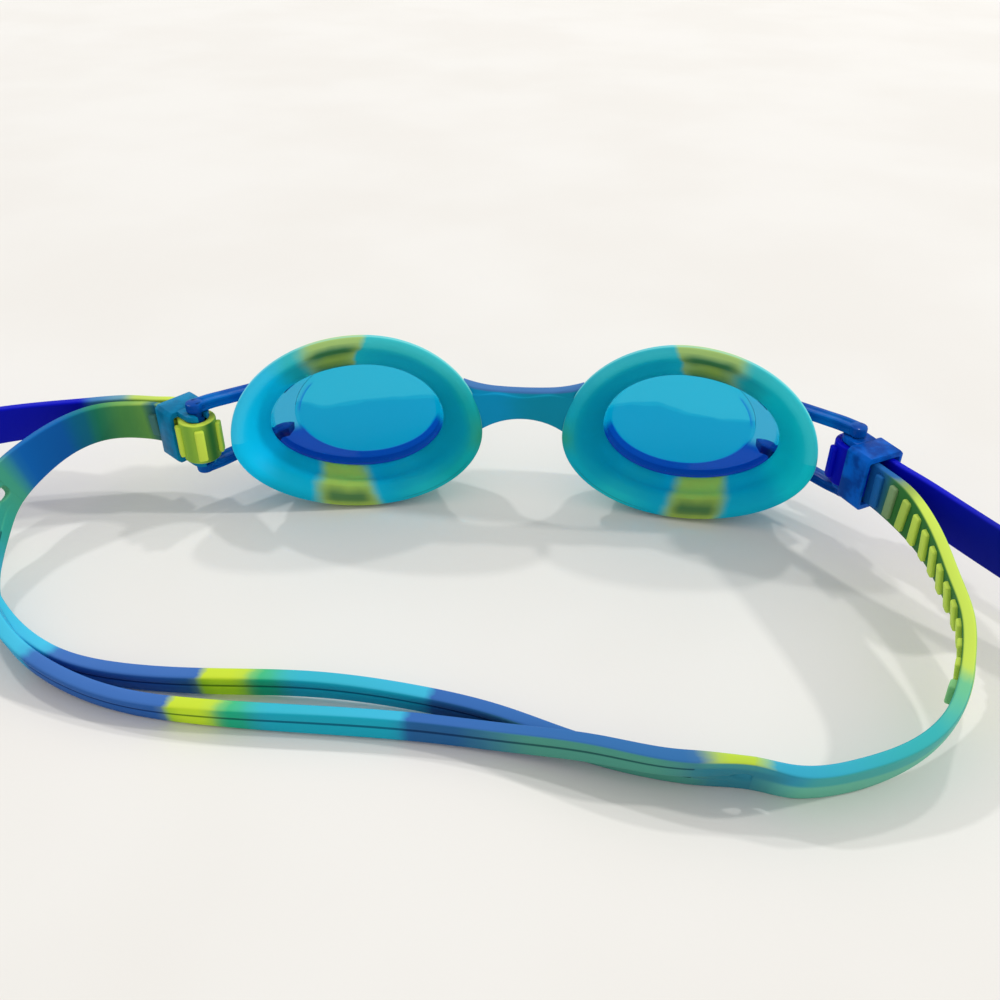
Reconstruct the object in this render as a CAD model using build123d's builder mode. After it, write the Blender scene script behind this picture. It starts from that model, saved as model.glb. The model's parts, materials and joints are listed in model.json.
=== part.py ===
from build123d import *
import os
from math import cos, radians, sin, sqrt

os.makedirs("parts", exist_ok=True)

# A child's swim goggles, standing on the lower rims of their eye seals with the strap laid round
# towards the wearer's side.  Millimetres.  The goggles' mid-plane is X = 0 while the pieces are made,
# the lenses look along +Y and the table is Z = 0.  The finished set is moved so that its origin is the
# middle of its footprint on the table.

# Eye openings.  An oval is four quarter ellipses: its reach to the temple, nose, top and bottom.
eye_x = 35.8               # eye centre from the mid-plane
eye_z = 18.9               # eye centre above the table
eye_yaw = 7.1              # each eye turns out to follow the face
eye_tilt = 6.5             # the top leans forward
eye_roll = -2.2            # turn of the oval in its own plane
rim_oval = (30.4, 27.4, 24.6, 18.1)
opening_oval = (22.1, 18.6, 14.1, 12.0)

# Eye seal: a flared cup from the rim at the face to the collar that grips the lens.
rim_lip = 3.2              # breadth of the rounded lip
rim_round = 1.4
throat_depth = 10.0        # from the rim to the lens opening
groove_depth = 10.8        # from the rim to the lens groove
collar_wall = 4.2
collar_front = 13.8        # from the rim to the front of the collar

# Lens pan: flange, side wall and flat window.
flange_thickness = 1.4
flange_reach = 2.2         # how far the flange runs into the collar
seat_gap = 0.1
lens_wall = 1.2
window_front = 16.6        # from the rim to the front face of the window
window_thickness = 1.5
window_bevel = 0.5
window_temple_step = 6.0   # slope of the side window
window_other_step = 1.2

# Nose bridge.
bridge_y = 6.9
bridge_thickness = 3.4
bridge_top = 30.0
bridge_dip = 1.0
bridge_under = 22.2
bridge_root = 14.0
bridge_reach = 14.0        # half length, ending inside the eye seals

# Strap post between the two arms of each lens.
post_x = 73.8
post_y = -1.0
strap_z = 18.4             # middle of the strap where it passes the post
post_radius = 1.8
journal_radius = 1.4
hub_radius = 2.0           # an arm ends in a round barely wider than itself
hub_round = 0.4
arm_thickness = 2.2
arm_width = 3.4
arm_root = (58.0, 14.2)
arm_inset = (2.6, -0.3)    # from the root back into the lens
arm_splay = 1.6            # the arms spread by this much each from the lens to the hub
arm_flat = (71.0, 1.7)     # where an arm levels out beside the hub
arm_round = 0.9
arm_web = 3.0

# Buckle: a box sleeve with an ear above and below, clipped on the post.
buckle_start = 2.8         # from the post's axis to the sleeve's near end
buckle_length = 6.4
buckle_wall = 0.9
buckle_roof = 1.4
ear_radius = 2.9
ear_clearance = 0.08
ear_mouth = 2.2
ear_gap = 0.2              # between an ear and the arm above or below it
buckle_chamfer = 0.8
buckle_left_angle = 140.0
buckle_right_angle = -61.0

# Strap.
strap_width = 10.0
strap_thickness = 1.8
layer_offset = 2.1         # middle of each layer from the sleeve's mid-plane
bend_radius = 3.3          # middle of the strap round the post
neck_radius = 3.0
sleeve_clearance = 0.2
band_thickness = 2.8
band_slit = 0.2
rib_pitch = 4.48
rib_length = 2.0
rib_height = 7.0
rib_proud = 0.9
rib_root = 0.3
block_length = 2.2
block_height = 7.6
block_proud = 1.2
eyelet_radius = 1.1        # round hole that ends the slit between the two bands
tip_steps = (0, 1.6, 3.2)
tip_widths = (10.0, 9.4, 6.0)

# Routes of the strap's free stretches: x, y, height of its middle, lean of its top edge outwards.
left_loop_route = [(-89.4, 5.9, 18.0, -6), (-97.8, 4.4, 18.2, -10), (-105.4, -2.3, 17.6, -5),
                   (-110.2, -10.6, 15.9, 9), (-112.4, -20.0, 14.2, 22)]
front_band_route = [(-113.3, -31.2, 12.5, 20), (-109.0, -42.4, 10.0, 17), (-101.4, -51.5, 8.0, 16),
                    (-93.5, -58.8, 5.8, 14), (-83.2, -64.6, 4.2, 13), (-71.3, -68.4, 3.3, 14),
                    (-56.0, -70.4, 3.25, 9), (-36.0, -71.0, 3.2, -2), (-15.0, -71.7, 3.2, -4),
                    (2.0, -74.1, 4.2, -1), (16.2, -77.7, 6.6, 3), (29.0, -80.6, 7.6, 11)]
rear_band_route = [(-111.0, -31.0, 7.6, 13), (-107.3, -41.6, 5.2, 3), (-101.0, -49.3, 3.5, -6),
                   (-93.0, -55.7, 3.1, -8), (-84.6, -59.8, 3.0, 0), (-72.7, -62.3, 3.2, 10),
                   (-56.6, -63.4, 3.8, 7), (-36.5, -63.5, 4.4, 7), (-16.7, -65.5, 4.2, 10),
                   (-0.8, -69.0, 3.6, 9), (13.2, -74.2, 3.2, 9), (27.5, -77.8, 3.1, 10)]
right_loop_route = [(41.0, -80.4, 5.7, 17), (48.0, -81.4, 5.6, 20), (58.4, -79.7, 5.6, 18),
                    (69.4, -75.1, 6.7, 16), (77.6, -67.9, 8.1, 6), (82.4, -59.6, 10.4, -9),
                    (84.7, -50.8, 13.0, -16), (84.6, -41.9, 14.7, -17), (83.9, -33.2, 16.3, -13),
                    (82.4, -24.9, 17.5, -7), (79.7, -17.3, 18.4, 0)]
left_tail_route = [(-85.0, 8.3, 18.1, -5), (-92.7, 8.9, 18.1, -10), (-102.2, 7.4, 18.0, -13),
                   (-112.7, 5.0, 17.8, -13), (-123.6, 2.0, 17.3, -11), (-134.2, -1.6, 16.4, -7),
                   (-145.1, -5.4, 15.4, -3), (-156.0, -9.5, 14.3, 0), (-166.5, -13.5, 13.0, 2)]
right_tail_route = [(84.6, -14.4, 18.2, 0), (89.8, -21.6, 17.7, 0), (95.2, -28.4, 16.9, 0),
                    (101.0, -35.0, 15.9, 0), (104.5, -38.8, 15.2, 0)]
ribs_on_left_loop = 0
ribs_on_right_loop = 12
first_on_left_loop = 4.2   # from the sleeve to the nearest bar on the loop
first_on_right_loop = 2.75
ribs_on_left_turn = (3.8, 8.28, 12.76, 17.0, 21.0, 26.2)    # along the turn, clear of the sleeve's mouth
ribs_on_right_turn = (1.73, 6.21, 10.69, 15.17, 19.65, 24.13, 28.61)
ribs_on_each_side = 24


# ---------------------------------------------------------------- eyes
outward = Vector(cos(radians(eye_yaw)), -sin(radians(eye_yaw)), 0)
ahead = Vector(sin(radians(eye_yaw)), cos(radians(eye_yaw)), 0)
upward = Vector(0, 0, 1) * cos(radians(eye_tilt)) + ahead * sin(radians(eye_tilt))
eye_plane = Plane(origin=(eye_x, 0, eye_z), x_dir=outward, z_dir=outward.cross(upward))
eye_plane = eye_plane.rotated((0, 0, eye_roll))


def grown(oval, step):
    """The oval with each reach made longer by step."""
    return tuple(reach + step for reach in oval)


def draw_oval(oval):
    """A closed egg of four quarter ellipses, for use inside a BuildSketch."""
    temple, nose, top, bottom = oval
    with BuildLine() as egg:
        EllipticalCenterArc((0, 0), temple, top, 0, arc_size=90)
        EllipticalCenterArc((0, 0), nose, top, 90, arc_size=90)
        EllipticalCenterArc((0, 0), nose, bottom, 180, arc_size=90)
        EllipticalCenterArc((0, 0), temple, bottom, 270, arc_size=90)
    make_face(egg.edges())


def ovals(*depths_and_ovals):
    """Sections for a loft: ovals at their depths in front of the rim plane."""
    sections = []
    for depth, oval in depths_and_ovals:
        with BuildSketch(eye_plane.offset(-depth)) as section:
            draw_oval(oval)
        sections.append(section.sketch)
    return sections


collar_oval = grown(opening_oval, collar_wall)
with BuildPart() as seal_skin:
    loft(ovals((0, rim_oval), (2.6, grown(rim_oval, -0.9)), (7.0, grown(collar_oval, 1.6)),
                   (groove_depth, collar_oval), (collar_front, grown(collar_oval, -0.5))))
    fillet(seal_skin.faces().sort_by(Axis.Y)[0].edges(), rim_round)

with BuildPart() as seal_throat:
    loft(ovals((0, grown(rim_oval, -rim_lip)), (3.2, grown(rim_oval, -rim_lip - 1.8)),
                   (7.2, grown(opening_oval, 1.0)), (throat_depth, opening_oval)))
    loft(ovals((throat_depth, opening_oval), (groove_depth, opening_oval)))

flange_oval = grown(opening_oval, flange_reach)
flange_front = groove_depth + flange_thickness
lip_oval = grown(opening_oval, lens_wall - 0.4 + seat_gap)
with BuildPart() as seal_socket:
    loft(ovals((groove_depth, grown(flange_oval, seat_gap)), (flange_front, grown(flange_oval, seat_gap))))
    loft(ovals((flange_front, lip_oval), (collar_front + 1, lip_oval)))

with BuildPart() as eye_seal:
    add(seal_skin.part)
    add(seal_throat.part, mode=Mode.SUBTRACT)
    add(seal_socket.part, mode=Mode.SUBTRACT)

with BuildPart() as bridge:
    with BuildSketch(Plane.XZ.offset(-bridge_y)):
        with BuildLine():
            Polyline((-bridge_reach, bridge_root), (-bridge_reach, bridge_top))
            ThreePointArc((-bridge_reach, bridge_top), (0, bridge_top - bridge_dip), (bridge_reach, bridge_top))
            Polyline((bridge_reach, bridge_top), (bridge_reach, bridge_root))
            ThreePointArc((bridge_reach, bridge_root), (0, bridge_under), (-bridge_reach, bridge_root))
        make_face()
    extrude(amount=bridge_thickness / 2, both=True)

with BuildPart() as frame_seal:
    add(eye_seal.part)
    add(bridge.part.split(Plane.YZ))
    for void in (seal_throat.part, seal_socket.part):
        add(void, mode=Mode.SUBTRACT)
    mirror(about=Plane.YZ)

# ---------------------------------------------------------------- lenses
pan_oval = grown(opening_oval, lens_wall - 0.4)


def window_oval(step):
    """Outline of the window, set in on the temple side by the slope of the side window."""
    temple, nose, top, bottom = pan_oval
    return (temple - window_temple_step - step, nose - window_other_step - step,
            top - window_other_step - step, bottom - window_other_step - step)


roof_low = strap_z + strap_width / 2 + sleeve_clearance
roof_high = roof_low + buckle_roof
floor_high = strap_z - strap_width / 2 - sleeve_clearance
floor_low = floor_high - buckle_roof
upper_arm = roof_high + ear_gap
lower_arm = floor_low - ear_gap - arm_thickness

with BuildPart() as lens_pan:
    loft(ovals((groove_depth, flange_oval), (flange_front, flange_oval)))
    loft(ovals((flange_front, pan_oval), (collar_front, pan_oval), (window_front - window_bevel, window_oval(0)),
               (window_front, window_oval(window_bevel))), ruled=True)
    loft(ovals((groove_depth - 0.01, grown(pan_oval, -lens_wall)), (collar_front, grown(pan_oval, -lens_wall)),
                   (window_front - window_thickness, window_oval(lens_wall))), ruled=True, mode=Mode.SUBTRACT)

arm_foot = (arm_root[0] - arm_inset[0], arm_root[1] - arm_inset[1])
with BuildPart() as hub:
    Cylinder(hub_radius, arm_thickness)
    fillet(hub.edges().filter_by(GeomType.CIRCLE), hub_round)

with BuildPart() as fork:
    for level, splay in ((upper_arm, -arm_splay), (lower_arm, arm_splay)):
        middle = level + arm_thickness / 2
        with BuildLine() as arm_line:
            Polyline((*arm_foot, middle + splay), (*arm_root, middle + splay), (*arm_flat, middle),
                     (post_x, post_y, middle))
        arm_path = arm_line.wire()
        with BuildSketch(Plane(origin=arm_path @ 0, x_dir=(0, 0, 1), z_dir=arm_path % 0)):
            RectangleRounded(arm_thickness, arm_width, arm_round)
        sweep(path=arm_path, transition=Transition.ROUND)
        add(hub.part.moved(Location((post_x, post_y, middle))))
    with BuildSketch(Plane.XY.offset(lower_arm + arm_splay + arm_thickness / 2)):
        with BuildLine() as web_line:
            Line(arm_foot, arm_root)
        trace(web_line.line, line_width=arm_web)
    extrude(amount=upper_arm - lower_arm - 2 * arm_splay)
    for level, radius in ((lower_arm + arm_thickness / 2, journal_radius), (floor_high, post_radius)):
        with BuildSketch(Plane.XY.offset(level)):
            with Locations((post_x, post_y)):
                Circle(radius)
        extrude(amount=2 * (strap_z - level))

with BuildPart() as pan_room:
    loft(ovals((groove_depth - 8, grown(pan_oval, -lens_wall)), (collar_front, grown(pan_oval, -lens_wall)),
                   (window_front - window_thickness, window_oval(lens_wall))), ruled=True)

with BuildPart() as collar_room:
    loft(ovals((-2, grown(collar_oval, 0.3)), (collar_front + 0.1, grown(collar_oval, 0.3))))

with BuildPart() as lens_right:
    add(fork.part)
    add(collar_room.part, mode=Mode.SUBTRACT)
    add(pan_room.part, mode=Mode.SUBTRACT)
    add(lens_pan.part)

with BuildPart() as lens_left:
    add(lens_right.part)
    mirror(about=Plane.YZ, mode=Mode.REPLACE)


# ---------------------------------------------------------------- buckles
def post_frame(side, angle):
    """Plan frame at a post, its X along the sleeve, its Y across to the loop's inside."""
    away = Vector(cos(radians(angle)), sin(radians(angle)), 0)
    inside = Vector(0, 0, 1).cross(away) * -side
    return Plane(origin=(side * post_x, post_y, 0), x_dir=away, z_dir=away.cross(inside))


left_frame = post_frame(-1, buckle_left_angle)
right_frame = post_frame(1, buckle_right_angle)
sleeve_half = layer_offset + strap_thickness / 2 + rib_proud + sleeve_clearance
buckle_end = buckle_start + buckle_length


def make_buckle(frame):
    """Box sleeve with its two C-shaped ears round the post."""
    flat = Plane(origin=frame.origin, x_dir=frame.x_dir, z_dir=(0, 0, 1))
    with BuildPart() as buckle:
        with BuildSketch(flat.offset(floor_low)):
            with Locations(((buckle_start + buckle_end) / 2, 0)):
                Rectangle(buckle_length, 2 * (sleeve_half + buckle_wall))
        extrude(amount=roof_high - floor_low)
        along_sleeve = buckle.edges().filter_by(lambda edge: abs(edge.tangent_at(0.5).dot(flat.x_dir)) > 0.9)
        chamfer(along_sleeve, buckle_chamfer)
        for level in (floor_low, roof_low):
            with BuildSketch(flat.offset(level)):
                with Locations((buckle_start / 2 + 0.5, 0)):
                    Rectangle(buckle_start + 1.0, 2 * ear_radius)
                Circle(ear_radius)
                Circle(journal_radius + ear_clearance, mode=Mode.SUBTRACT)
                with Locations((-ear_radius, 0)):
                    Rectangle(2 * ear_radius, ear_mouth, mode=Mode.SUBTRACT)
            extrude(amount=buckle_roof)
        with BuildSketch(flat.offset(floor_high)):
            with Locations(((buckle_start + buckle_end) / 2, 0)):
                RectangleRounded(buckle_length + 1, 2 * sleeve_half, 0.4)
        extrude(amount=roof_low - floor_high, mode=Mode.SUBTRACT)
    return buckle.part


with BuildPart() as buckle_left:
    add(make_buckle(left_frame))

with BuildPart() as buckle_right:
    add(make_buckle(right_frame))


# ---------------------------------------------------------------- strap
def station(point, heading, lean):
    """Section plane of the strap: X across its thickness to the loop's outside, Z along it."""
    side = heading.cross(Vector(0, 0, 1)).normalized()
    side = side.rotate(Axis((0, 0, 0), heading), lean)
    return Plane(origin=point, x_dir=side, z_dir=heading)


def stations(route, start=None, finish=None):
    """Section planes through a route, with the heading held at an end where it is given."""
    places = [Vector(x, y, z) for x, y, z, lean in route]
    planes = []
    for index, place in enumerate(places):
        before = places[max(index - 1, 0)]
        after = places[min(index + 1, len(places) - 1)]
        heading = (after - before).normalized()
        if index == 0 and start is not None:
            heading = start
        if index == len(places) - 1 and finish is not None:
            heading = finish
        planes.append(station(place, heading, route[index][3]))
    return planes


def tip(planes):
    """Sections for a loft: the last of a tail, drawn in to its rounded end."""
    sections = []
    for plane, width in zip(planes, tip_widths):
        with BuildSketch(plane) as section:
            Rectangle(strap_thickness, width)
        sections.append(section.sketch)
    return sections


def bands(planes, thickness, width):
    """Sections for a loft: one rectangle on each plane, never thicker than the strap at the two ends."""
    sections = []
    for plane in planes:
        at_end = plane is planes[0] or plane is planes[-1]
        with BuildSketch(plane) as section:
            Rectangle(strap_thickness if at_end else thickness, width)
        sections.append(section.sketch)
    return sections


def spot(point):
    """The place of a route point, without its lean."""
    return Vector(*point[:3])


def lean_at(route, place):
    """Lean of the strap at a place, shared between the two nearest route points."""
    first, second = sorted(route, key=lambda point: (spot(point) - place).length)[:2]
    first_gap = (spot(first) - place).length
    second_gap = (spot(second) - place).length
    return (first[3] * second_gap + second[3] * first_gap) / (first_gap + second_gap)


def inner_face(curve, route, distances, proud, travel):
    """Planes for bars that stand proud of the strap's inner face, at distances along a curve.

    travel is 1 where the curve runs from the left tail towards the right one, and -1 where it runs back.
    """
    planes = []
    for distance in distances:
        place = curve.position_at(distance, position_mode=PositionMode.LENGTH)
        heading = curve.tangent_at(distance, position_mode=PositionMode.LENGTH)
        plane = station(place, heading, lean_at(route, place) * travel if route else 0)
        inward = -travel * (strap_thickness + proud - rib_root) / 2
        planes.append(Plane(origin=plane.from_local_coords(Vector(inward, 0, 0)), x_dir=plane.x_dir, z_dir=heading))
    return planes


def exit_point(frame, across):
    """Where a layer's middle leaves the sleeve, as a route point."""
    point = frame.from_local_coords(Vector(buckle_end, across, 0))
    return (point.X, point.Y, strap_z, 0)


def post_turn(frame):
    """Path of the strap in through the sleeve, round the post and out again, in its plan frame."""
    reach = bend_radius + neck_radius
    neck = sqrt(reach ** 2 - (layer_offset + neck_radius) ** 2)
    share = bend_radius / reach
    touch = (neck * share, (layer_offset + neck_radius) * share)
    level = Plane(origin=frame.origin + Vector(0, 0, strap_z), x_dir=frame.x_dir, z_dir=frame.z_dir)
    with BuildLine(level) as turn:
        Line((buckle_end, layer_offset), (neck, layer_offset))
        RadiusArc((neck, layer_offset), touch, neck_radius)
        ThreePointArc(touch, (-bend_radius, 0), (touch[0], -touch[1]))
        RadiusArc((touch[0], -touch[1]), (neck, -layer_offset), neck_radius)
        Line((neck, -layer_offset), (buckle_end, -layer_offset))
    return turn.wire()


half_band = strap_width / 4 + band_slit / 4


def band_end(point, raised, heading):
    """Where a band's middle lies at the end of the slit, above or below the strap's middle."""
    place = station(spot(point), heading, point[3]).from_local_coords(Vector(0, -half_band * raised, 0))
    return (place.X, place.Y, place.Z, point[3])


def fork_heading(single, front, rear):
    """Heading where the single strap meets the middle of its two bands."""
    return ((spot(front) + spot(rear)) / 2 - spot(single)).normalized()


left_exit = exit_point(left_frame, layer_offset)
right_exit = exit_point(right_frame, layer_offset)
left_fork = left_loop_route[-1]
right_fork = right_loop_route[0]
left_heading = fork_heading(left_loop_route[-2], front_band_route[0], rear_band_route[0])
right_heading = fork_heading(right_loop_route[1], front_band_route[-1], rear_band_route[-1]) * -1
band_width = (strap_width - band_slit) / 2

with BuildPart() as strap_band:
    left_planes = stations([left_exit] + left_loop_route, left_frame.x_dir, left_heading)
    loft(bands(left_planes, strap_thickness, strap_width))
    right_planes = stations(right_loop_route + [right_exit], right_heading, right_frame.x_dir * -1)
    loft(bands(right_planes, strap_thickness, strap_width))
    for raised, route in ((1, front_band_route), (-1, rear_band_route)):
        band_route = [band_end(left_fork, raised, left_heading)] + route + [band_end(right_fork, raised, right_heading)]
        loft(bands(stations(band_route, left_heading, right_heading), band_thickness, band_width))
    for frame, tail_route in ((left_frame, left_tail_route), (right_frame, right_tail_route)):
        tail_planes = stations([exit_point(frame, -layer_offset)] + tail_route, start=frame.x_dir)
        loft(bands(tail_planes, strap_thickness, strap_width))
        loft(tip([tail_planes[-1].offset(step) for step in tip_steps]))
        turn = post_turn(frame)
        with BuildSketch(Plane(origin=turn @ 0, x_dir=frame.y_dir, z_dir=turn % 0)):
            Rectangle(strap_thickness, strap_width)
        sweep(path=turn)

# Ribs run on from the loop through the sleeve, round the post and out along the tail.

def rib_row(start, count):
    """Distances of a row of ribs."""
    return [start + index * rib_pitch for index in range(count)]


with BuildPart() as strap_bars:
    for side, frame, loop_route, tail_route, first_rib, loop_ribs, turn_ribs in (
        (-1, left_frame, [left_exit] + left_loop_route, left_tail_route,
         first_on_left_loop, ribs_on_left_loop, ribs_on_left_turn),
        (1, right_frame, [right_exit] + right_loop_route[::-1], right_tail_route,
         first_on_right_loop, ribs_on_right_loop, ribs_on_right_turn),
    ):
        turn = post_turn(frame)
        tail_route = [exit_point(frame, -layer_offset)] + tail_route
        loop_line = Spline(*[spot(point) for point in loop_route])
        tail_line = Spline(*[spot(point) for point in tail_route])
        tail_ribs = ribs_on_each_side - len(turn_ribs) - loop_ribs
        tail_start = turn_ribs[-1] + rib_pitch - turn.length
        rib_planes = inner_face(loop_line, loop_route, rib_row(first_rib, loop_ribs), rib_proud, -side)
        rib_planes += inner_face(turn, None, turn_ribs, rib_proud, side)
        rib_planes += inner_face(tail_line, tail_route, rib_row(tail_start, tail_ribs), rib_proud, side)
        with Locations(*rib_planes):
            Box(rib_proud + rib_root, rib_height, rib_length)
        block_spot = first_rib + loop_ribs * rib_pitch
        with Locations(*inner_face(loop_line, loop_route, [block_spot], block_proud, -side)):
            Box(block_proud + rib_root, block_height, block_length)

with BuildPart() as strap:
    add(strap_band.part)
    add(strap_bars.part)
    for end_plane in (left_planes[-1], right_planes[0]):
        with Locations(end_plane):
            Cylinder(eyelet_radius, 4 * strap_thickness, rotation=(0, 90, 0), mode=Mode.SUBTRACT)

pieces = {
    "frame_seal": frame_seal.part,
    "lens_left": lens_left.part,
    "lens_right": lens_right.part,
    "buckle_left": buckle_left.part,
    "buckle_right": buckle_right.part,
    "strap": strap.part,
}
whole = Compound(list(pieces.values())).bounding_box()
to_origin = Location((-whole.center().X, -whole.center().Y, -whole.min.Z))
print("moved by", to_origin.position)
for name, solid in pieces.items():
    placed = solid.moved(to_origin)
    placed.label = name
    export_step(placed, f"parts/{name}.step")
    print(name, len(placed.solids()), round(placed.volume, 1))
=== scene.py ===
"""A child's swim goggles: soft eye seals, tinted lenses, forked arms, box buckles and a split strap.

The goggles' own measurements are in millimetres about their mid-plane (X = 0), with the lenses looking
along +Y and the table at Z = 0.  Every mesh is moved from there into the row frame as it is finished.
"""
import json
import logging
import math
from dataclasses import dataclass, field
from enum import Enum
from typing import Callable, ClassVar, Iterable, Optional, Sequence

import bmesh
import bpy
import numpy as np
from mathutils import Matrix, Vector


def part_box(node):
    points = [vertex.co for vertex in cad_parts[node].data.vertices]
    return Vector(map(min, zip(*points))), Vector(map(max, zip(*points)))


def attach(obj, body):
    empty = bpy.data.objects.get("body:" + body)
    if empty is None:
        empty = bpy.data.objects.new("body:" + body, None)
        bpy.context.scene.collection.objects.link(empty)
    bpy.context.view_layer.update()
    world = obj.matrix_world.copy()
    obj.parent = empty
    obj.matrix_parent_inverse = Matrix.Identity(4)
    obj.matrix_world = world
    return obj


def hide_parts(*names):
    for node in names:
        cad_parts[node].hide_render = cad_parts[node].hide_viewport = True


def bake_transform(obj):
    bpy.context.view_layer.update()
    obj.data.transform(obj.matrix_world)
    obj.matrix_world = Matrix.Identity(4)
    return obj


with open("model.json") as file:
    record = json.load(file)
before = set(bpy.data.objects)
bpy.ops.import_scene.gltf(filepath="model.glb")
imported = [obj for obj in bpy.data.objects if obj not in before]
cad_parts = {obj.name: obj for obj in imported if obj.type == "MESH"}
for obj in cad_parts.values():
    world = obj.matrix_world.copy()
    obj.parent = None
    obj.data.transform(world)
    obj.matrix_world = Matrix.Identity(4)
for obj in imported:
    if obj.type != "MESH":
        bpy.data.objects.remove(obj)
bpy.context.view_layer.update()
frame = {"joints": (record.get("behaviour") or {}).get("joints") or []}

log = logging.getLogger("goggles")

Colour = tuple[float, float, float]
Stop = tuple[float, Colour]
Outline = list[tuple[float, float]]
Mapper = Callable[[float, float], Vector]
Marker = Callable[[float, float], tuple[float, float]]
RoutePoint = tuple[float, float, float, float]
Span = tuple[float, float, float]
MM = 0.001
UP = Vector((0, 0, 1))


class Slot(Enum):
    """The record's material slots."""

    SEAL = "seal"
    LENS = "lens"
    BUCKLE = "buckle"
    STRAP = "strap"


class Side(Enum):
    """Which eye a piece belongs to, as the sign of its X."""

    LEFT = -1
    RIGHT = 1

    @property
    def word(self) -> str:
        """The side's name in a piece's name."""
        return self.name.lower()


# ------------------------------------------------------------------ datum
POST = Vector((73.8, -1.0, 0.0))
STRAP_LEVEL = 18.4
SEAL_LOWEST = 0.4176


def datum() -> Matrix:
    """Matrix from the goggles' own millimetres to the row frame.

    Returns:
        A scale to metres and the shift given by the two strap posts and the seals' lowest edge.
    """
    posts = [joint["pos_m"] for joint in frame["joints"]]
    middle = sum(pos[0] for pos in posts) / 2
    depth = posts[0][1] - POST.y * MM
    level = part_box("frame_seal")[0].z - SEAL_LOWEST * MM
    return Matrix.Translation((middle, depth, level)) @ Matrix.Scale(MM, 4)


DATUM = datum()


# ------------------------------------------------------------------ lines and sections
def spline(knots: np.ndarray, samples: int, start: Optional[Vector], finish: Optional[Vector]) -> np.ndarray:
    """A cubic spline through knots, read at even steps.

    Args:
        knots: one knot to a row, the place first and any other values after it.
        samples: how many points to read.
        start: heading at the first knot, or None to leave it free.
        finish: heading at the last knot, or None to leave it free.

    Returns:
        An array of samples rows.
    """
    gaps = np.linalg.norm(np.diff(knots[:, :3], axis=0), axis=1)
    times = np.concatenate(([0.0], np.cumsum(gaps)))
    count, width = knots.shape
    slopes = np.diff(knots, axis=0) / gaps[:, None]
    system = np.eye(count)
    pull = np.zeros((count, width))
    for row in range(1, count - 1):
        system[row, row - 1:row + 2] = gaps[row - 1], 2 * (gaps[row - 1] + gaps[row]), gaps[row]
        pull[row] = 6 * (slopes[row] - slopes[row - 1])
    if start is not None:
        held = np.zeros(width)
        held[:3] = start
        system[0, :2] = 2 * gaps[0], gaps[0]
        pull[0] = 6 * (slopes[0] - held)
    if finish is not None:
        held = np.zeros(width)
        held[:3] = finish
        system[-1, -2:] = gaps[-1], 2 * gaps[-1]
        pull[-1] = 6 * (held - slopes[-1])
    bend = np.linalg.solve(system, pull)
    wanted = np.linspace(0.0, times[-1], samples)
    span = np.clip(np.searchsorted(times, wanted, side="right") - 1, 0, count - 2)
    gap = gaps[span][:, None]
    ahead = (times[span + 1] - wanted)[:, None]
    behind = (wanted - times[span])[:, None]
    return (
        bend[span] * ahead ** 3 / (6 * gap)
        + bend[span + 1] * behind ** 3 / (6 * gap)
        + (knots[span] / gap - bend[span] * gap / 6) * ahead
        + (knots[span + 1] / gap - bend[span + 1] * gap / 6) * behind
    )


def eased(share: float) -> float:
    """A share held from 0 to 1, with a soft start and end."""
    held = min(1.0, max(0.0, share))
    return held * held * (3 - 2 * held)


LONGEST_ROUND = 0.48


def rounded(corners: Sequence[tuple[float, float]], radius: float, steps: int = 3) -> Outline:
    """A closed outline with each corner rounded.

    Args:
        corners: the corners in order.
        radius: how far from a corner its round starts, if its edges are long enough.
        steps: straight steps in each round.

    Returns:
        The outline's points, steps + 1 to a corner.
    """
    outline: Outline = []
    for index, corner in enumerate(corners):
        here = Vector(corner)
        back = Vector(corners[index - 1]) - here
        on = Vector(corners[(index + 1) % len(corners)]) - here
        first = here + back.normalized() * min(radius, back.length * LONGEST_ROUND)
        last = here + on.normalized() * min(radius, on.length * LONGEST_ROUND)
        for step in range(steps + 1):
            t = step / steps
            point = first * (1 - t) ** 2 + here * 2 * t * (1 - t) + last * t ** 2
            outline.append((point.x, point.y))
    return outline


def softened(knots: np.ndarray, radius: float, steps: int = 3) -> np.ndarray:
    """A closed row of knots with each corner rounded, however many values a knot has.

    Args:
        knots: one knot to a row, its first two values giving the distances.
        radius: how far from a knot its round starts at most.
        steps: straight steps in each round.

    Returns:
        The rows, steps + 1 to a knot.
    """
    rows = []
    short_stop = 0.2
    for index, here in enumerate(knots):
        back = knots[index - 1] - here
        on = knots[(index + 1) % len(knots)] - here
        first = here + back * min(radius / np.linalg.norm(back[:2]), 0.5)
        last = here + on * min(radius / np.linalg.norm(on[:2]), 0.5)
        for step in range(steps + 1):
            t = step / (steps + short_stop)
            rows.append(first * (1 - t) ** 2 + here * 2 * t * (1 - t) + last * t ** 2)
    return np.array(rows)


def oblong(width: float, height: float, radius: float) -> Outline:
    """A rounded rectangle about the origin."""
    a, b = width / 2, height / 2
    return rounded([(-a, -b), (a, -b), (a, b), (-a, b)], radius)


def chamfered(width: float, height: float, cut: float, radius: float) -> Outline:
    """A rectangle about the origin with cut corners whose edges are lightly rounded."""
    a, b = width / 2, height / 2
    corners = [(-a + cut, -b), (a - cut, -b), (a, -b + cut), (a, b - cut),
               (a - cut, b), (-a + cut, b), (-a, b - cut), (-a, -b + cut)]
    return rounded(corners, radius, 2)


@dataclass(frozen=True)
class Station:
    """A place on a route: the side points across a strap's thickness to the outside of its loop."""

    place: Vector
    heading: Vector
    side: Vector
    distance: float

    def at(self, out: float, height: float) -> Vector:
        """The point that lies out along the side and height along the strap's width."""
        return self.place + self.side * out + self.side.cross(self.heading) * height

    def moved(self, along: float) -> "Station":
        """The same section, moved along its heading."""
        return Station(self.place + self.heading * along, self.heading, self.side, self.distance + along)


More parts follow.
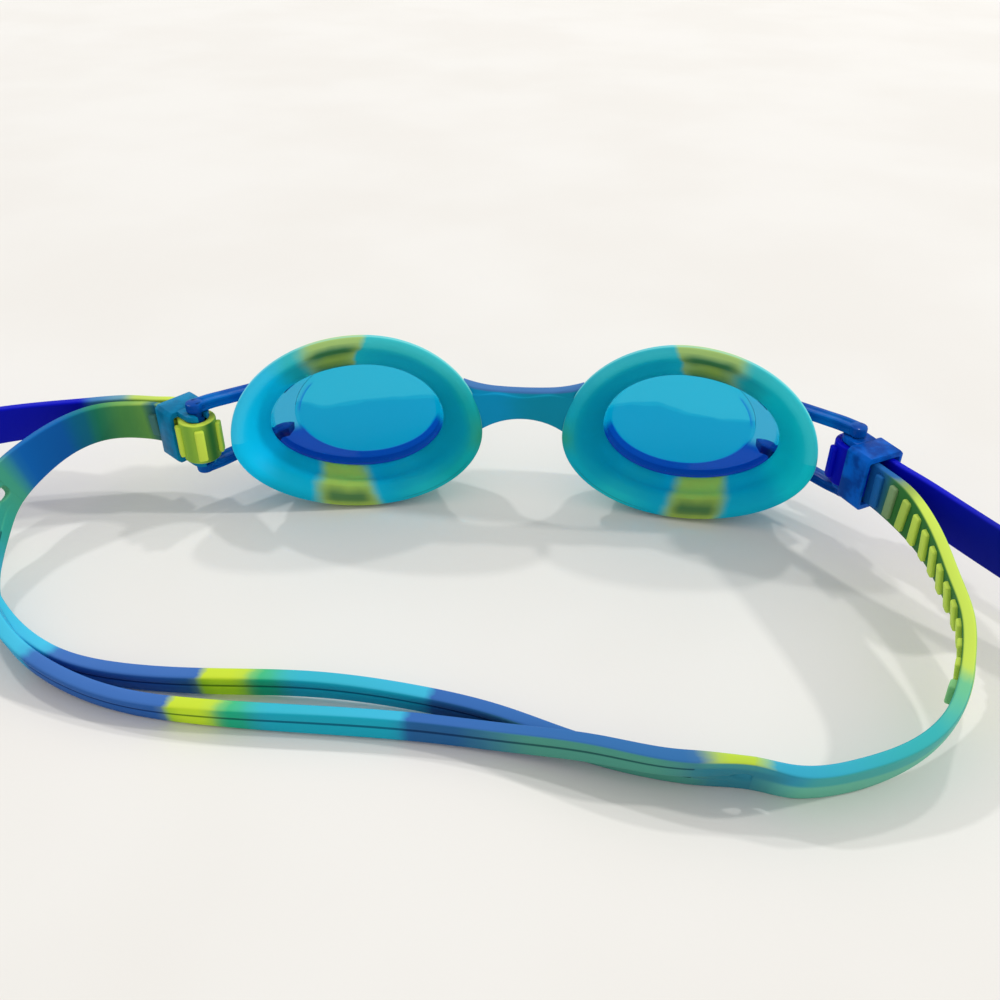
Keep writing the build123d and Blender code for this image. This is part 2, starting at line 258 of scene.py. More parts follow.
@dataclass
class Route:
    """A smooth line through points (x, y, z, lean of the top edge to the outside, degrees)."""

    points: list[RoutePoint]
    start: Optional[Vector] = None
    finish: Optional[Vector] = None
    begin: float = 0.0
    spacing: float = 0.8

    def stations(self) -> list[Station]:
        """Sections at even steps along the line.

        Returns:
            The stations, the first at the distance that the route begins at.
        """
        knots = np.array(self.points, float)
        length = float(np.linalg.norm(np.diff(knots[:, :3], axis=0), axis=1).sum())
        rows = spline(knots, max(4, round(length / self.spacing)) + 1, self.start, self.finish)
        found: list[Station] = []
        distance = self.begin
        for index, row in enumerate(rows):
            before, after = rows[max(index - 1, 0)], rows[min(index + 1, len(rows) - 1)]
            heading = Vector(after[:3] - before[:3]).normalized()
            if index == 0 and self.start is not None:
                heading = self.start.normalized()
            if index == len(rows) - 1 and self.finish is not None:
                heading = self.finish.normalized()
            if index:
                distance += float(np.linalg.norm(row[:3] - before[:3]))
            side = heading.cross(UP).normalized()
            side = Matrix.Rotation(math.radians(row[3]), 3, heading) @ side
            found.append(Station(Vector(row[:3]), heading, side, distance))
        return found


def station_at(stations: Sequence[Station], distance: float) -> Station:
    """The station nearest to a distance, slid along its heading to lie at it."""
    nearest = min(stations, key=lambda station: abs(station.distance - distance))
    return nearest.moved(distance - nearest.distance)


# ------------------------------------------------------------------ workpieces
class Workpiece:
    """A mesh in the making, in the goggles' own millimetres."""

    merge_distance = 1e-4
    full_section = 1.97
    groove_level = 1.0
    groove_sides = (0.7, 0.95)
    groove_mark = 1.5

    def __init__(self) -> None:
        """Starts an empty mesh with one UV map."""
        self.bm = bmesh.new()
        self.uv = self.bm.loops.layers.uv.new("wrap")

    def skin(self, across: int, along: int, shape: Mapper, mark: Marker, capped: bool) -> None:
        """Wraps a grid round a shape and closes it.

        Args:
            across: faces round the shape.
            along: faces along it.
            shape: the point for u round the shape and v along it, each from 0 to 1.
            mark: the UV for the same u and v.
            capped: True to fill the two open ends.
        """
        part = bmesh.new()
        uv = part.loops.layers.uv.new("wrap")
        bmesh.ops.create_grid(part, x_segments=across, y_segments=along, size=0.5)
        low = min(vert.co.x for vert in part.verts)
        high = max(vert.co.x for vert in part.verts)
        for vert in part.verts:
            vert.co = Vector(((vert.co.x - low) / (high - low), (vert.co.y - low) / (high - low), 0))
        for face in part.faces:
            for loop in face.loops:
                loop[uv].uv = mark(loop.vert.co.x, loop.vert.co.y)
        for vert in part.verts:
            vert.co = shape(vert.co.x, vert.co.y)
        bmesh.ops.remove_doubles(part, verts=part.verts, dist=self.merge_distance)
        if capped:
            rims = [edge for edge in part.edges if edge.is_boundary]
            filled = bmesh.ops.holes_fill(part, edges=rims, sides=0)
            for face in filled["faces"]:
                for loop in face.loops:
                    beside = [other for other in loop.vert.link_loops if other.face is not face]
                    loop[uv].uv = beside[0][uv].uv
        self.take(part)

    def take(self, part: bmesh.types.BMesh) -> None:
        """Adds a finished closed shape, with its faces turned outwards."""
        bmesh.ops.recalc_face_normals(part, faces=part.faces)
        mesh = bpy.data.meshes.new("part")
        part.to_mesh(mesh)
        part.free()
        self.bm.from_mesh(mesh)
        bpy.data.meshes.remove(mesh)

    def sweep(self, stations: Sequence[Station], outline: Callable[[Station], Outline], half: float) -> None:
        """Sweeps a section along stations.

        Args:
            stations: the sections' places in order.
            outline: gives a station its closed section, of out and height.
            half: half the full thickness; only full sections carry grooves in the UV map.
        """
        sections = [outline(station) for station in stations]
        spans = [(min(out for out, _ in section), max(out for out, _ in section)) for section in sections]
        count = len(sections[0])
        last = len(stations) - 1

        def shape(u: float, v: float) -> Vector:
            """The skin's point."""
            index = round(v * last)
            return stations[index].at(*sections[index][round(u * count) % count])

        def mark(u: float, v: float) -> tuple[float, float]:
            """Side of the strip, from -1 to 1 and beyond 1 in a groove, and distance along it in metres."""
            index = round(v * last)
            low, high = spans[index]
            out, level = sections[index][round(u * count) % count]
            side = (2 * out - low - high) / (high - low)
            inner, outer = self.groove_sides
            grooved = high - low > self.full_section * half and abs(level) < self.groove_level
            if grooved and inner < abs(side) < outer:
                side = math.copysign(self.groove_mark, side)
            return side, stations[index].distance * MM

        self.skin(count, last, shape, mark, True)

    def rings(self, around: int, rings: Sequence[Callable[[float], Vector]], closed: bool) -> None:
        """Skins a row of closed rings.

        Args:
            around: faces round each ring.
            rings: each gives its point at a turn from 0 to 1.
            closed: True where the last ring is the first again, False to cap the ends.
        """
        last = len(rings) - 1
        self.skin(around, last, lambda u, v: rings[round(v * last)](u % 1.0), lambda u, v: (u, v), not closed)

    def plate(self, outline: Outline, low: float, high: float, edge: float, place: Matrix) -> None:
        """A flat plate with rounded rims.

        Args:
            outline: its closed outline.
            low: level of its underside.
            high: level of its top.
            edge: the rims' round.
            place: where the plate's own axes stand.
        """
        part = bmesh.new()
        part.loops.layers.uv.new("wrap")
        made = bmesh.ops.create_circle(part, cap_ends=True, segments=len(outline), radius=1)
        for vert, (x, y) in zip(made["verts"], outline):
            vert.co = (x, y, low)
        raised = bmesh.ops.extrude_face_region(part, geom=part.faces[:], use_keep_orig=True)
        tops = [item for item in raised["geom"] if isinstance(item, bmesh.types.BMVert)]
        bmesh.ops.translate(part, verts=tops, vec=(0, 0, high - low))
        bmesh.ops.recalc_face_normals(part, faces=part.faces)
        rims = [item for item in part.edges
                if abs(item.verts[0].co.z - item.verts[1].co.z) < self.merge_distance]
        bmesh.ops.bevel(part, geom=rims, offset=edge, segments=2, profile=0.5, affect="EDGES", material=-1)
        bmesh.ops.transform(part, matrix=place, verts=part.verts)
        self.take(part)

    def block(self, size: Vector, edge: float, place: Matrix, mark: tuple[float, float]) -> None:
        """A rounded bar.

        Args:
            size: its three sizes.
            edge: the round of all its edges.
            place: where its own axes stand.
            mark: the UV that all its faces carry.
        """
        part = bmesh.new()
        uv = part.loops.layers.uv.new("wrap")
        bmesh.ops.create_cube(part, size=1.0)
        bmesh.ops.scale(part, vec=size, verts=part.verts)
        edges = part.edges
        bmesh.ops.bevel(part, geom=edges, offset=edge, segments=3, profile=0.5, affect="EDGES", material=-1)
        for face in part.faces:
            for loop in face.loops:
                loop[uv].uv = mark
        bmesh.ops.transform(part, matrix=place, verts=part.verts)
        self.take(part)

    def finish(self, name: str, material: bpy.types.Material, slot: Slot, crease: float) -> bpy.types.Object:
        """Moves the mesh into the row frame and makes its object.

        Args:
            name: the piece's name.
            material: its finish.
            slot: the record's slot that the finish stands for; not used.
            crease: the angle in degrees past which an edge stays sharp.

        Returns:
            The new object, at the origin, unturned and unscaled.
        """
        bmesh.ops.transform(self.bm, matrix=DATUM, verts=self.bm.verts)
        mesh = bpy.data.meshes.new(name)
        self.bm.to_mesh(mesh)
        self.bm.free()
        mesh.shade_smooth()
        mesh.set_sharp_from_angle(angle=math.radians(crease))
        mesh.materials.append(material)
        piece = bpy.data.objects.new(name, mesh)
        bpy.context.scene.collection.objects.link(piece)
        log.info("%s: %d faces", name, len(mesh.polygons))
        return piece


class Moulding:
    """A piece moulded in one: each kind says what it is called and how its mesh is made."""

    slot: ClassVar[Slot]
    crease: ClassVar[float] = 30.0

    @property
    def name(self) -> str:
        """The piece's name."""
        raise NotImplementedError

    def mould(self, work: Workpiece) -> None:
        """Adds the piece's shapes to its mesh."""
        raise NotImplementedError

    def build(self, material: bpy.types.Material) -> bpy.types.Object:
        """Makes the piece.

        Args:
            material: its finish.

        Returns:
            The new object.
        """
        work = Workpiece()
        self.mould(work)
        return work.finish(self.name, material, self.slot, self.crease)


# ------------------------------------------------------------------ finishes
class Graph:
    """Wires the nodes of one material or group."""

    def __init__(self, tree: bpy.types.NodeTree) -> None:
        """Starts on an empty tree."""
        self.tree = tree
        tree.nodes.clear()

    def node(self, kind: str, settings: Optional[dict] = None, **inputs: object) -> bpy.types.Node:
        """Adds a node.

        Args:
            kind: its Blender type.
            settings: its own properties.
            inputs: a value or a socket for each named input, with _ for a space.

        Returns:
            The node.
        """
        made = self.tree.nodes.new(kind)
        for key, value in (settings or {}).items():
            setattr(made, key, value)
        for key, value in inputs.items():
            socket = made.inputs[int(key[1:])] if key[1:].isdigit() else made.inputs[key.replace("_", " ")]
            if isinstance(value, bpy.types.NodeSocket):
                self.tree.links.new(value, socket)
            else:
                socket.default_value = value
        return made

    def maths(self, operation: str, first: object, second: object = 0.0,
              clamp: bool = False) -> bpy.types.NodeSocket:
        """One sum of two values or sockets."""
        settings = {"operation": operation, "use_clamp": clamp}
        return self.node("ShaderNodeMath", settings, i0=first, i1=second).outputs[0]

    def times(self, *factors: object) -> bpy.types.NodeSocket:
        """The product of two or more values or sockets.

        Args:
            factors: the values or sockets.

        Returns:
            The product.
        """
        product = factors[0]
        for factor in factors[1:]:
            product = self.maths("MULTIPLY", product, factor)
        return product

    def axes(self, vector: bpy.types.NodeSocket) -> bpy.types.bpy_prop_collection:
        """A vector's three values."""
        return self.node("ShaderNodeSeparateXYZ", None, Vector=vector).outputs

    def noise(self, vector: object, scale: object, detail: float = 3.0) -> bpy.types.NodeSocket:
        """Soft noise from 0 to 1."""
        return self.node("ShaderNodeTexNoise", None, Vector=vector, Scale=scale, Detail=detail).outputs[0]

    def step(self, value: object, low: float, high: float) -> bpy.types.NodeSocket:
        """A smooth step.

        Args:
            value: what it reads.
            low: where it is 0.
            high: where it is 1, which may be below low.

        Returns:
            The step.
        """
        settings = {"interpolation_type": "SMOOTHSTEP"}
        made = self.node("ShaderNodeMapRange", settings, Value=value, From_Min=low, From_Max=high)
        return made.outputs["Result"]

    def window(self, value: object, low: float, high: float, soft: float) -> bpy.types.NodeSocket:
        """A mask that is 1 between low and high, with ends that are soft to each side."""
        rise = self.step(value, low - soft, low + soft)
        return self.times(rise, self.step(value, high + soft, high - soft))

    def mix(self, mask: object, first: object, second: object, blend: str = "MIX") -> bpy.types.NodeSocket:
        """Mixes two colours.

        Args:
            mask: how much of the second shows.
            first: the colour under it, plain or a socket.
            second: the colour over it, plain or a socket.
            blend: Blender's blend type.

        Returns:
            The mixed colour.
        """
        made = self.tree.nodes.new("ShaderNodeMix")
        made.data_type = "RGBA"
        made.blend_type = blend
        for socket, value in ((made.inputs[0], mask), (made.inputs[6], first), (made.inputs[7], second)):
            if isinstance(value, bpy.types.NodeSocket):
                self.tree.links.new(value, socket)
            elif isinstance(value, tuple):
                socket.default_value = (*value, 1.0)
            else:
                socket.default_value = value
        return made.outputs[2]

    def ramp(self, value: bpy.types.NodeSocket, stops: Sequence[Stop]) -> bpy.types.NodeSocket:
        """A colour ramp.

        Args:
            value: what it reads.
            stops: each place and its colour, in order.

        Returns:
            The colour.
        """
        made = self.node("ShaderNodeValToRGB", None, Fac=value)
        ramp = made.color_ramp
        ramp.interpolation = "EASE"
        while len(ramp.elements) < len(stops):
            ramp.elements.new(1.0)
        for element, (place, colour) in zip(ramp.elements, stops):
            element.position = place
            element.color = (*colour, 1.0)
        return made.outputs["Color"]


def new_group(name: str, takes: dict[str, tuple[str, float]],
              gives: dict[str, str]) -> tuple[bpy.types.NodeTree, Graph]:
    """A shader node group with named sockets.

    Args:
        name: the group's name.
        takes: each input's socket type and default.
        gives: each output's socket type.

    Returns:
        The group and its graph.
    """
    tree = bpy.data.node_groups.new(name, "ShaderNodeTree")
    for label, (kind, value) in takes.items():
        socket = tree.interface.new_socket(label, in_out="INPUT", socket_type=kind)
        if kind == "NodeSocketFloat":
            socket.default_value = value
    for label, kind in gives.items():
        tree.interface.new_socket(label, in_out="OUTPUT", socket_type=kind)
    return tree, Graph(tree)


def make_grain_group() -> bpy.types.NodeTree:
    """Moulded surface: fine grain, faint waves and patchy gloss.

    Returns:
        The group, which gives a roughness and a normal.
    """
    tree, graph = new_group(
        "moulded_grain",
        {"Vector": ("NodeSocketVector", 0), "Fineness": ("NodeSocketFloat", 3000),
         "Depth": ("NodeSocketFloat", 0.1), "Gloss": ("NodeSocketFloat", 0.4),
         "Patchiness": ("NodeSocketFloat", 0.1)},
        {"Roughness": "NodeSocketFloat", "Normal": "NodeSocketVector"},
    )
    given = graph.node("NodeGroupInput").outputs
    fine = graph.noise(given["Vector"], given["Fineness"])
    wave = graph.noise(given["Vector"], 160.0, 2.0)
    cloud = graph.noise(given["Vector"], 420.0, 4.0)
    height = graph.maths("ADD", graph.times(fine, 0.35), wave)
    bump = graph.node("ShaderNodeBump", None, Strength=given["Depth"], Distance=0.4 * MM, Height=height)
    swing = graph.times(graph.maths("SUBTRACT", cloud, 0.5), given["Patchiness"])
    gloss = graph.maths("ADD", given["Gloss"], swing, clamp=True)
    graph.node("NodeGroupOutput", None, Roughness=gloss, Normal=bump.outputs[0])
    return tree


def make_drift_group() -> bpy.types.NodeTree:
    """Dye that has run: pushes a coordinate about by soft noise.

    Returns:
        The group, which gives the pushed value.
    """
    tree, graph = new_group(
        "dye_drift",
        {"Vector": ("NodeSocketVector", 0), "Value": ("NodeSocketFloat", 0),
         "Amount": ("NodeSocketFloat", 0.02), "Scale": ("NodeSocketFloat", 60)},
        {"Value": "NodeSocketFloat"},
    )
    given = graph.node("NodeGroupInput").outputs
    noise = graph.noise(given["Vector"], given["Scale"])
    push = graph.times(graph.maths("SUBTRACT", noise, 0.5), given["Amount"])
    graph.node("NodeGroupOutput", None, Value=graph.maths("ADD", given["Value"], push))
    return tree


GRAIN = make_grain_group()
DRIFT = make_drift_group()


def drifted(graph: Graph, value: bpy.types.NodeSocket, vector: bpy.types.NodeSocket, amount: float,
            scale: float) -> bpy.types.NodeSocket:
    """A value pushed about by the dye drift group.

    Args:
        graph: where the group goes.
        value: the value.
        vector: where its noise is read.
        amount: how far it is pushed, from end to end.
        scale: how fine the noise is.

    Returns:
        The pushed value.
    """
    settings = {"node_tree": DRIFT}
    made = graph.node("ShaderNodeGroup", settings, Vector=vector, Value=value, Amount=amount, Scale=scale)
    return made.outputs["Value"]


@dataclass(frozen=True)
class Surface:
    """A material in the making: its graph, its shader and the coordinates that it can read."""

    material: bpy.types.Material
    graph: Graph
    shader: bpy.types.Node
    where: bpy.types.bpy_prop_collection

    def drifted(self, value: bpy.types.NodeSocket, amount: float, scale: float) -> bpy.types.NodeSocket:
        """A value pushed about by soft noise over the piece."""
        return drifted(self.graph, value, self.where["Object"], amount, scale)


@dataclass(frozen=True)
class Finish:
    """A moulded finish: how glossy, grainy and cloudy it is."""

    gloss: float
    patchiness: float
    grain: float
    fineness: float
    coat: float = 0.0
    clear: float = 0.0
    ior: float = 1.43
    sheen: float = 0.5
    coat_roughness: ClassVar[float] = 0.12

    def surface(self, name: str) -> Surface:
        """A new material with its shader wired up to the grain.

        Args:
            name: the material's name.

        Returns:
            The surface, which still needs its colour.
        """
        material = bpy.data.materials.new(name)
        material.use_nodes = True
        graph = Graph(material.node_tree)
        where = graph.node("ShaderNodeTexCoord").outputs
        grain = graph.node("ShaderNodeGroup", {"node_tree": GRAIN}, Vector=where["Object"],
                           Fineness=self.fineness, Depth=self.grain, Gloss=self.gloss,
                           Patchiness=self.patchiness).outputs
        shader = graph.node("ShaderNodeBsdfPrincipled", None, Roughness=grain["Roughness"],
                            Normal=grain["Normal"], IOR=self.ior, Coat_Weight=self.coat,
                            Coat_Roughness=self.coat_roughness, Transmission_Weight=self.clear,
                            Specular_IOR_Level=self.sheen)
        graph.node("ShaderNodeOutputMaterial", None, Surface=shader.outputs[0])
        return Surface(material, graph, shader, where)


@dataclass(frozen=True)
class Dye:
    """A colouring of a finish: each kind wires up its own colour."""

    name: str
    finish: Finish

    def colour(self, surface: Surface) -> bpy.types.NodeSocket:
        """Wires up the base colour.

        Args:
            surface: the material in the making.

        Returns:
            The colour's socket.
        """
        raise NotImplementedError

    def build(self) -> bpy.types.Material:
        """The material, named for its dye."""
        surface = self.finish.surface(self.name)
        surface.graph.tree.links.new(self.colour(surface), surface.shader.inputs["Base Color"])
        return surface.material


TEAL: Colour = (0.012, 0.53, 0.59)
LIME: Colour = (0.44, 0.60, 0.10)
BRIGHT_LIME: Colour = (0.58, 0.74, 0.04)
# Painted shade in the seal crown's creases.
PAINTED_CREASE_SHADE_GREEN: Colour = (0.045, 0.17, 0.04)
PERIWINKLE: Colour = (0.05, 0.16, 0.48)
NAVY: Colour = (0.0005, 0.004, 0.52)
SEA_BLUE: Colour = (0.001, 0.42, 0.62)
# Painted shade down the throat of the seal's crown.
PAINTED_THROAT_SHADE_OLIVE: Colour = (0.13, 0.26, 0.05)
# Painted shade on the seal's upper temple.
PAINTED_TEMPLE_SHADE_TEAL: Colour = (0.002, 0.20, 0.26)
# Painted shade in the crease at the seal's foot.
NOSE_GREEN: Colour = (0.03, 0.36, 0.20)
PAINTED_FOOT_CREASE_SHADE: Colour = (0.06, 0.17, 0.06)
# Painted light on the seal's lip.
PAINTED_CREST_LIGHT_TEAL: Colour = (0.30, 0.95, 0.95)
# Painted highlight along the seal's lip edge.
PAINTED_LIP_HIGHLIGHT_TEAL: Colour = (0.30, 0.72, 0.70)
PARTING_TEAL: Colour = (0.01, 0.16, 0.18)


@dataclass(frozen=True)
class Wash:
    """A colour laid over part of an eye seal, inside windows that are each given as low, high and soft: dye,
    painted shade or painted light, as each wash in SealDye.washes says.

    The turns run round the cup, and the downs run down its throat. A crisp wash keeps clear of the drift.
    """

    colour: Colour
    share: float
    turns: Optional[Span]
    downs: tuple[Span, ...]
    crisp: bool = False


@dataclass(frozen=True)
class SealDye(Dye):
    """Colours of an eye seal: dye round the cup from the temple by way of the top, and washes over them, most
    of them painted shade or painted light.
    """

    round_the_cup: tuple[Stop, ...]
    crown: tuple[float, float]
    # throat: painted shade, a darker blue in the throat on the nose side.
    throat: Colour
    skew: float = 0.06

    def washes(self) -> list[Wash]:
        """The washes in order: painted shade in the throat, painted shade over the crown's throat, painted
        shade in the crown's creases, painted temple shade, nose patch, painted shade in the foot's crease,
        painted light on the crest, a painted highlight along the lip, and the parting line.
        """
        first, last = self.crown
        crown = (first - 0.006, last - 0.002, 0.014)
        return [
            # Painted shade: the throat under the lip, darker and bluer near the lens.
            Wash(self.throat, 0.6, (0.27, 0.72, 0.04), ((0.03, 0.30, 0.06),)),
            # Painted shade: olive over the lime crown down its throat.
            Wash(PAINTED_THROAT_SHADE_OLIVE, 0.55, crown, ((0.03, 0.33, 0.03),)),
            # Painted shade: two dark green arcs in the crown, in the crease under the lip and near the lens.
            Wash(PAINTED_CREASE_SHADE_GREEN, 1.0, crown, ((0.262, 0.365, 0.035), (0.04, 0.19, 0.05))),
            # Painted shade: darker teal down the throat just before the crown on the temple side.
            Wash(PAINTED_TEMPLE_SHADE_TEAL, 0.45, (first - 0.05, first, 0.02), ((0.04, 0.30, 0.05),)),
            Wash(NOSE_GREEN, 0.8, (0.482, 0.532, 0.03), ((0.34, 0.60, 0.07),)),
            # Painted shade: dark green in the crease between the lower lime patch and the lip.
            Wash(PAINTED_FOOT_CREASE_SHADE, 0.95, (0.744, 0.812, 0.016), ((0.29, 0.40, 0.045),)),
            # Painted light: a pale teal over the lip on the temple and top.
            Wash(PAINTED_CREST_LIGHT_TEAL, 0.12, (-0.2, 0.42, 0.06), ((0.34, 0.52, 0.05),)),
            # Painted highlight: a thin light line along the lip's outer edge.
            Wash(PAINTED_LIP_HIGHLIGHT_TEAL, 0.45, None, ((0.452, 0.482, 0.008),), crisp=True),
            Wash(PARTING_TEAL, 0.5, (0.58, 0.70, 0.02), ((0.395, 0.401, 0.003),), crisp=True),
        ]

    def colour(self, surface: Surface) -> bpy.types.NodeSocket:
        """Wires up the colours round the cup, skewed towards the temple near the lens, and the washes.

        Args:
            surface: the material in the making.

        Returns:
            The colour's socket.
        """
        graph = surface.graph
        wrap = graph.axes(surface.where["UV"])
        turn = surface.drifted(wrap[0], 0.035, 110.0)
        down = surface.drifted(wrap[1], 0.05, 120.0)
        deep = graph.maths("MAXIMUM", graph.maths("SUBTRACT", 0.40, down), -0.05)
        way = graph.maths("SUBTRACT", 1.0, graph.times(graph.step(turn, 0.45, 0.55), 2.0))
        turn = graph.maths("ADD", turn, graph.times(deep, way, self.skew))
        dye = graph.ramp(turn, self.round_the_cup)
        for wash in self.washes():
            depth = wrap[1] if wash.crisp else down
            mask = graph.window(depth, *wash.downs[0])
            for span in wash.downs[1:]:
                mask = graph.maths("ADD", mask, graph.window(depth, *span))
            if wash.turns is not None:
                mask = graph.times(mask, graph.window(turn, *wash.turns))
            dye = graph.mix(graph.times(mask, wash.share), dye, wash.colour)
        return dye


@dataclass(frozen=True)
class Streak:
    """A run of colour along the strap's outer face, between two distances in millimetres: dye on the loop,
    painted shade between the teeth on the left end.
    """

    first: float
    last: float
    colour: Colour
    share: float = 0.85
    soft: float = 3.0


@dataclass(frozen=True)
class Undertone:
    """A dye along the strap's lower part, between two distances in millimetres.

    It shows in full below the low level and not at all above the high one.
    """

    first: float
    last: float
    colour: Colour
    low: float
    high: float
    soft: float = 6.0


@dataclass(frozen=True)
class StrapDye(Dye):
    """Colours of a stretch of strap: dye by distance along it, in millimetres from the left buckle, with
    painted shade on its faces, grooves and valleys.

    The ramp covers reach millimetres and starts offset millimetres before the first distance. The valleys are
    the stretch between whose teeth the inner face takes painted shade; the upright faces and the grooves take
    painted shade as well.
    """

    stops: tuple[Stop, ...]
    reach: float
    offset: float
    valleys: tuple[float, float] = (0.0, 0.0)
    # Painted shade on the toothed inner face between the teeth.
    painted_valley_shade: Colour = NAVY
    # Painted shade on the upright faces, which are darker than the lit top edge.
    painted_face_shade: Colour = (0.45, 0.72, 0.84)
    # Painted shade in the grooves along the bands' faces.
    painted_groove_shade: Colour = (0.30, 0.38, 0.45)
    undertones: tuple[Undertone, ...] = ()
    streaks: tuple[Streak, ...] = ()

    def share(self, distance: float) -> float:
        """Where a distance lies on the ramp, from 0 to 1."""
        return (distance + self.offset) / self.reach

    def colour(self, surface: Surface) -> bpy.types.NodeSocket:
        """Wires up the colours along the strap, then the painted shade in its valleys and on its faces, the
        streaks, the undertones and the painted shade in its grooves.

        Args:
            surface: the material in the making.

        Returns:
            The colour's socket.
        """
        graph = surface.graph
        wrap = graph.axes(surface.where["UV"])
        run = graph.maths("DIVIDE", graph.maths("ADD", wrap[1], self.offset * MM), self.reach * MM)
        stretched = graph.node("ShaderNodeVectorMath", {"operation": "MULTIPLY"}, i0=surface.where["UV"],
                               i1=(0.004, 1.0, 1.0)).outputs[0]
        run = drifted(graph, run, stretched, 0.008, 130.0)

        def along(first: float, last: float, soft: float) -> bpy.types.NodeSocket:
            """A mask between two distances."""
            return graph.window(run, self.share(first), self.share(last), soft / self.reach)

        dye = graph.ramp(run, [(self.share(distance), colour) for distance, colour in self.stops])
        # Painted shade: darker inner face along the toothed stretch.
        if self.valleys[1] > self.valleys[0]:
            inner = graph.window(wrap[0], -1.2, -0.8, 0.15)
            toothed = graph.window(run, self.share(self.valleys[0]), self.share(self.valleys[1]), 0.008)
            dye = graph.mix(graph.times(inner, toothed), dye, self.painted_valley_shade)
        sides = graph.maths("ABSOLUTE", wrap[0])
        # Painted shade: the upright faces darker than the lit top edge.
        dye = graph.mix(graph.window(sides, 0.9, 1.65, 0.1), dye, self.painted_face_shade, "MULTIPLY")
        outer = graph.window(wrap[0], 0.85, 1.65, 0.1)
        for streak in self.streaks:
            mask = graph.times(outer, along(streak.first, streak.last, streak.soft))
            dye = graph.mix(graph.times(mask, streak.share), dye, streak.colour)
        level = graph.axes(surface.where["Object"])[2]
        for tone in self.undertones:
            below = graph.step(level, tone.high * MM, tone.low * MM)
            dye = graph.mix(graph.times(along(tone.first, tone.last, tone.soft), below), dye, tone.colour)
        # Painted shade: dark line in the grooves.
        return graph.mix(graph.window(sides, 1.25, 1.65, 0.1), dye, self.painted_groove_shade, "MULTIPLY")


@dataclass(frozen=True)
class Plain(Dye):
    """One moulded colour that clouds softly into a second."""

    first: Colour
    second: Colour
    scale: float = 110.0

    def colour(self, surface: Surface) -> bpy.types.NodeSocket:
        """Wires up the clouds."""
        clouds = surface.graph.noise(surface.where["Object"], self.scale)
        return surface.graph.mix(surface.graph.step(clouds, 0.35, 0.65), self.first, self.second)


@dataclass(frozen=True)
class BridgeDye(Dye):
    """Colours of the nose bridge: a painted highlight in pale periwinkle along its upward-facing top, and
    blue dye into teal across its face.
    """

    # Painted highlight on the upward-facing top.
    top: Colour = (0.05, 0.17, 0.42)
    left: Colour = (0.001, 0.29, 0.55)
    right: Colour = (0.001, 0.26, 0.40)

    def colour(self, surface: Surface) -> bpy.types.NodeSocket:
        """Wires up the face and the painted highlight on the top edge.

        Args:
            surface: the material in the making.

        Returns:
            The colour's socket.
        """
        graph = surface.graph
        wrap = graph.axes(surface.where["UV"])
        along = surface.drifted(wrap[1], 0.006, 120.0)
        face = graph.mix(graph.step(along, -0.006, 0.003), self.left, self.right)
        # Painted highlight: paler periwinkle where the top edge faces up.
        upward = graph.axes(surface.where["Normal"])[2]
        edge = graph.times(graph.step(upward, 0.3, 0.7), graph.step(wrap[0], 0.68, 0.52))
        return graph.mix(edge, face, self.top)


@dataclass(frozen=True)
class LensTint(Dye):
    """Clear tinted lens: paler towards the top and at the side window, with painted shade in navy along the
    foot of its wall and a painted dark line at the temple where the window meets the wall.
    """

    pale: Colour
    full: Colour
    # Painted shade: navy along the foot of the wall, for the lower wall seen at a grazing angle through the
    # tint with the shaded collar behind; lighter blue at its edge.
    foot: Colour
    painted_foot_shade_edge: Colour
    side: Colour

    def colour(self, surface: Surface) -> bpy.types.NodeSocket:
        """Wires up the tint by height, the side window, and the painted shade along the foot and the temple
        line.

        Args:
            surface: the material in the making.

        Returns:
            The colour's socket.
        """
        graph = surface.graph
        turn, down = graph.axes(surface.where["UV"])[:2]
        level = surface.drifted(graph.axes(surface.where["Object"])[2], 0.009, 45.0)
        tint = graph.mix(graph.step(level, 0.0192, 0.0198), self.full, self.pale)
        tint = graph.mix(graph.step(level, 0.0145, 0.0075), tint, self.full)
        temple = graph.step(graph.maths("ABSOLUTE", graph.maths("SUBTRACT", turn, 0.5)), 0.36, 0.42)
        inside, outside = graph.window(down, 0.06, 0.125, 0.004), graph.window(down, 0.75, 0.825, 0.004)
        slope = graph.maths("ADD", inside, outside, clamp=True)
        tint = graph.mix(graph.times(temple, slope), tint, self.side)
        # Painted shade along the foot, and a painted dark line at the temple where the window's bevel bends
        # the light.
        foot = graph.times(graph.window(turn, 0.53, 0.955, 0.02), graph.window(down, 0.03, 0.97, 0.01))
        line = graph.times(graph.window(down, 0.03, 0.062, 0.006), graph.window(turn, 0.015, 0.11, 0.01))
        below = graph.maths("ADD", foot, line, clamp=True)
        return graph.mix(below, tint, graph.mix(graph.step(down, 0.09, 0.17), self.painted_foot_shade_edge, self.foot))


# ------------------------------------------------------------------ eyes
@dataclass(frozen=True)
class Oval:
    """An egg of four quarter ellipses: its reach to the temple, nose, top and bottom."""

    temple: float
    nose: float
    top: float
    bottom: float

    def grown(self, step: float) -> "Oval":
        """The oval with each reach longer by step."""
        return Oval(self.temple + step, self.nose + step, self.top + step, self.bottom + step)

    def at(self, turn: float) -> Vector:
        """The point at a turn from 0 at the temple by way of the top."""
        across, up = math.cos(math.tau * turn), math.sin(math.tau * turn)
        wide = self.temple if across > 0 else self.nose
        tall = self.top if up > 0 else self.bottom
        return Vector((across * wide, up * tall))


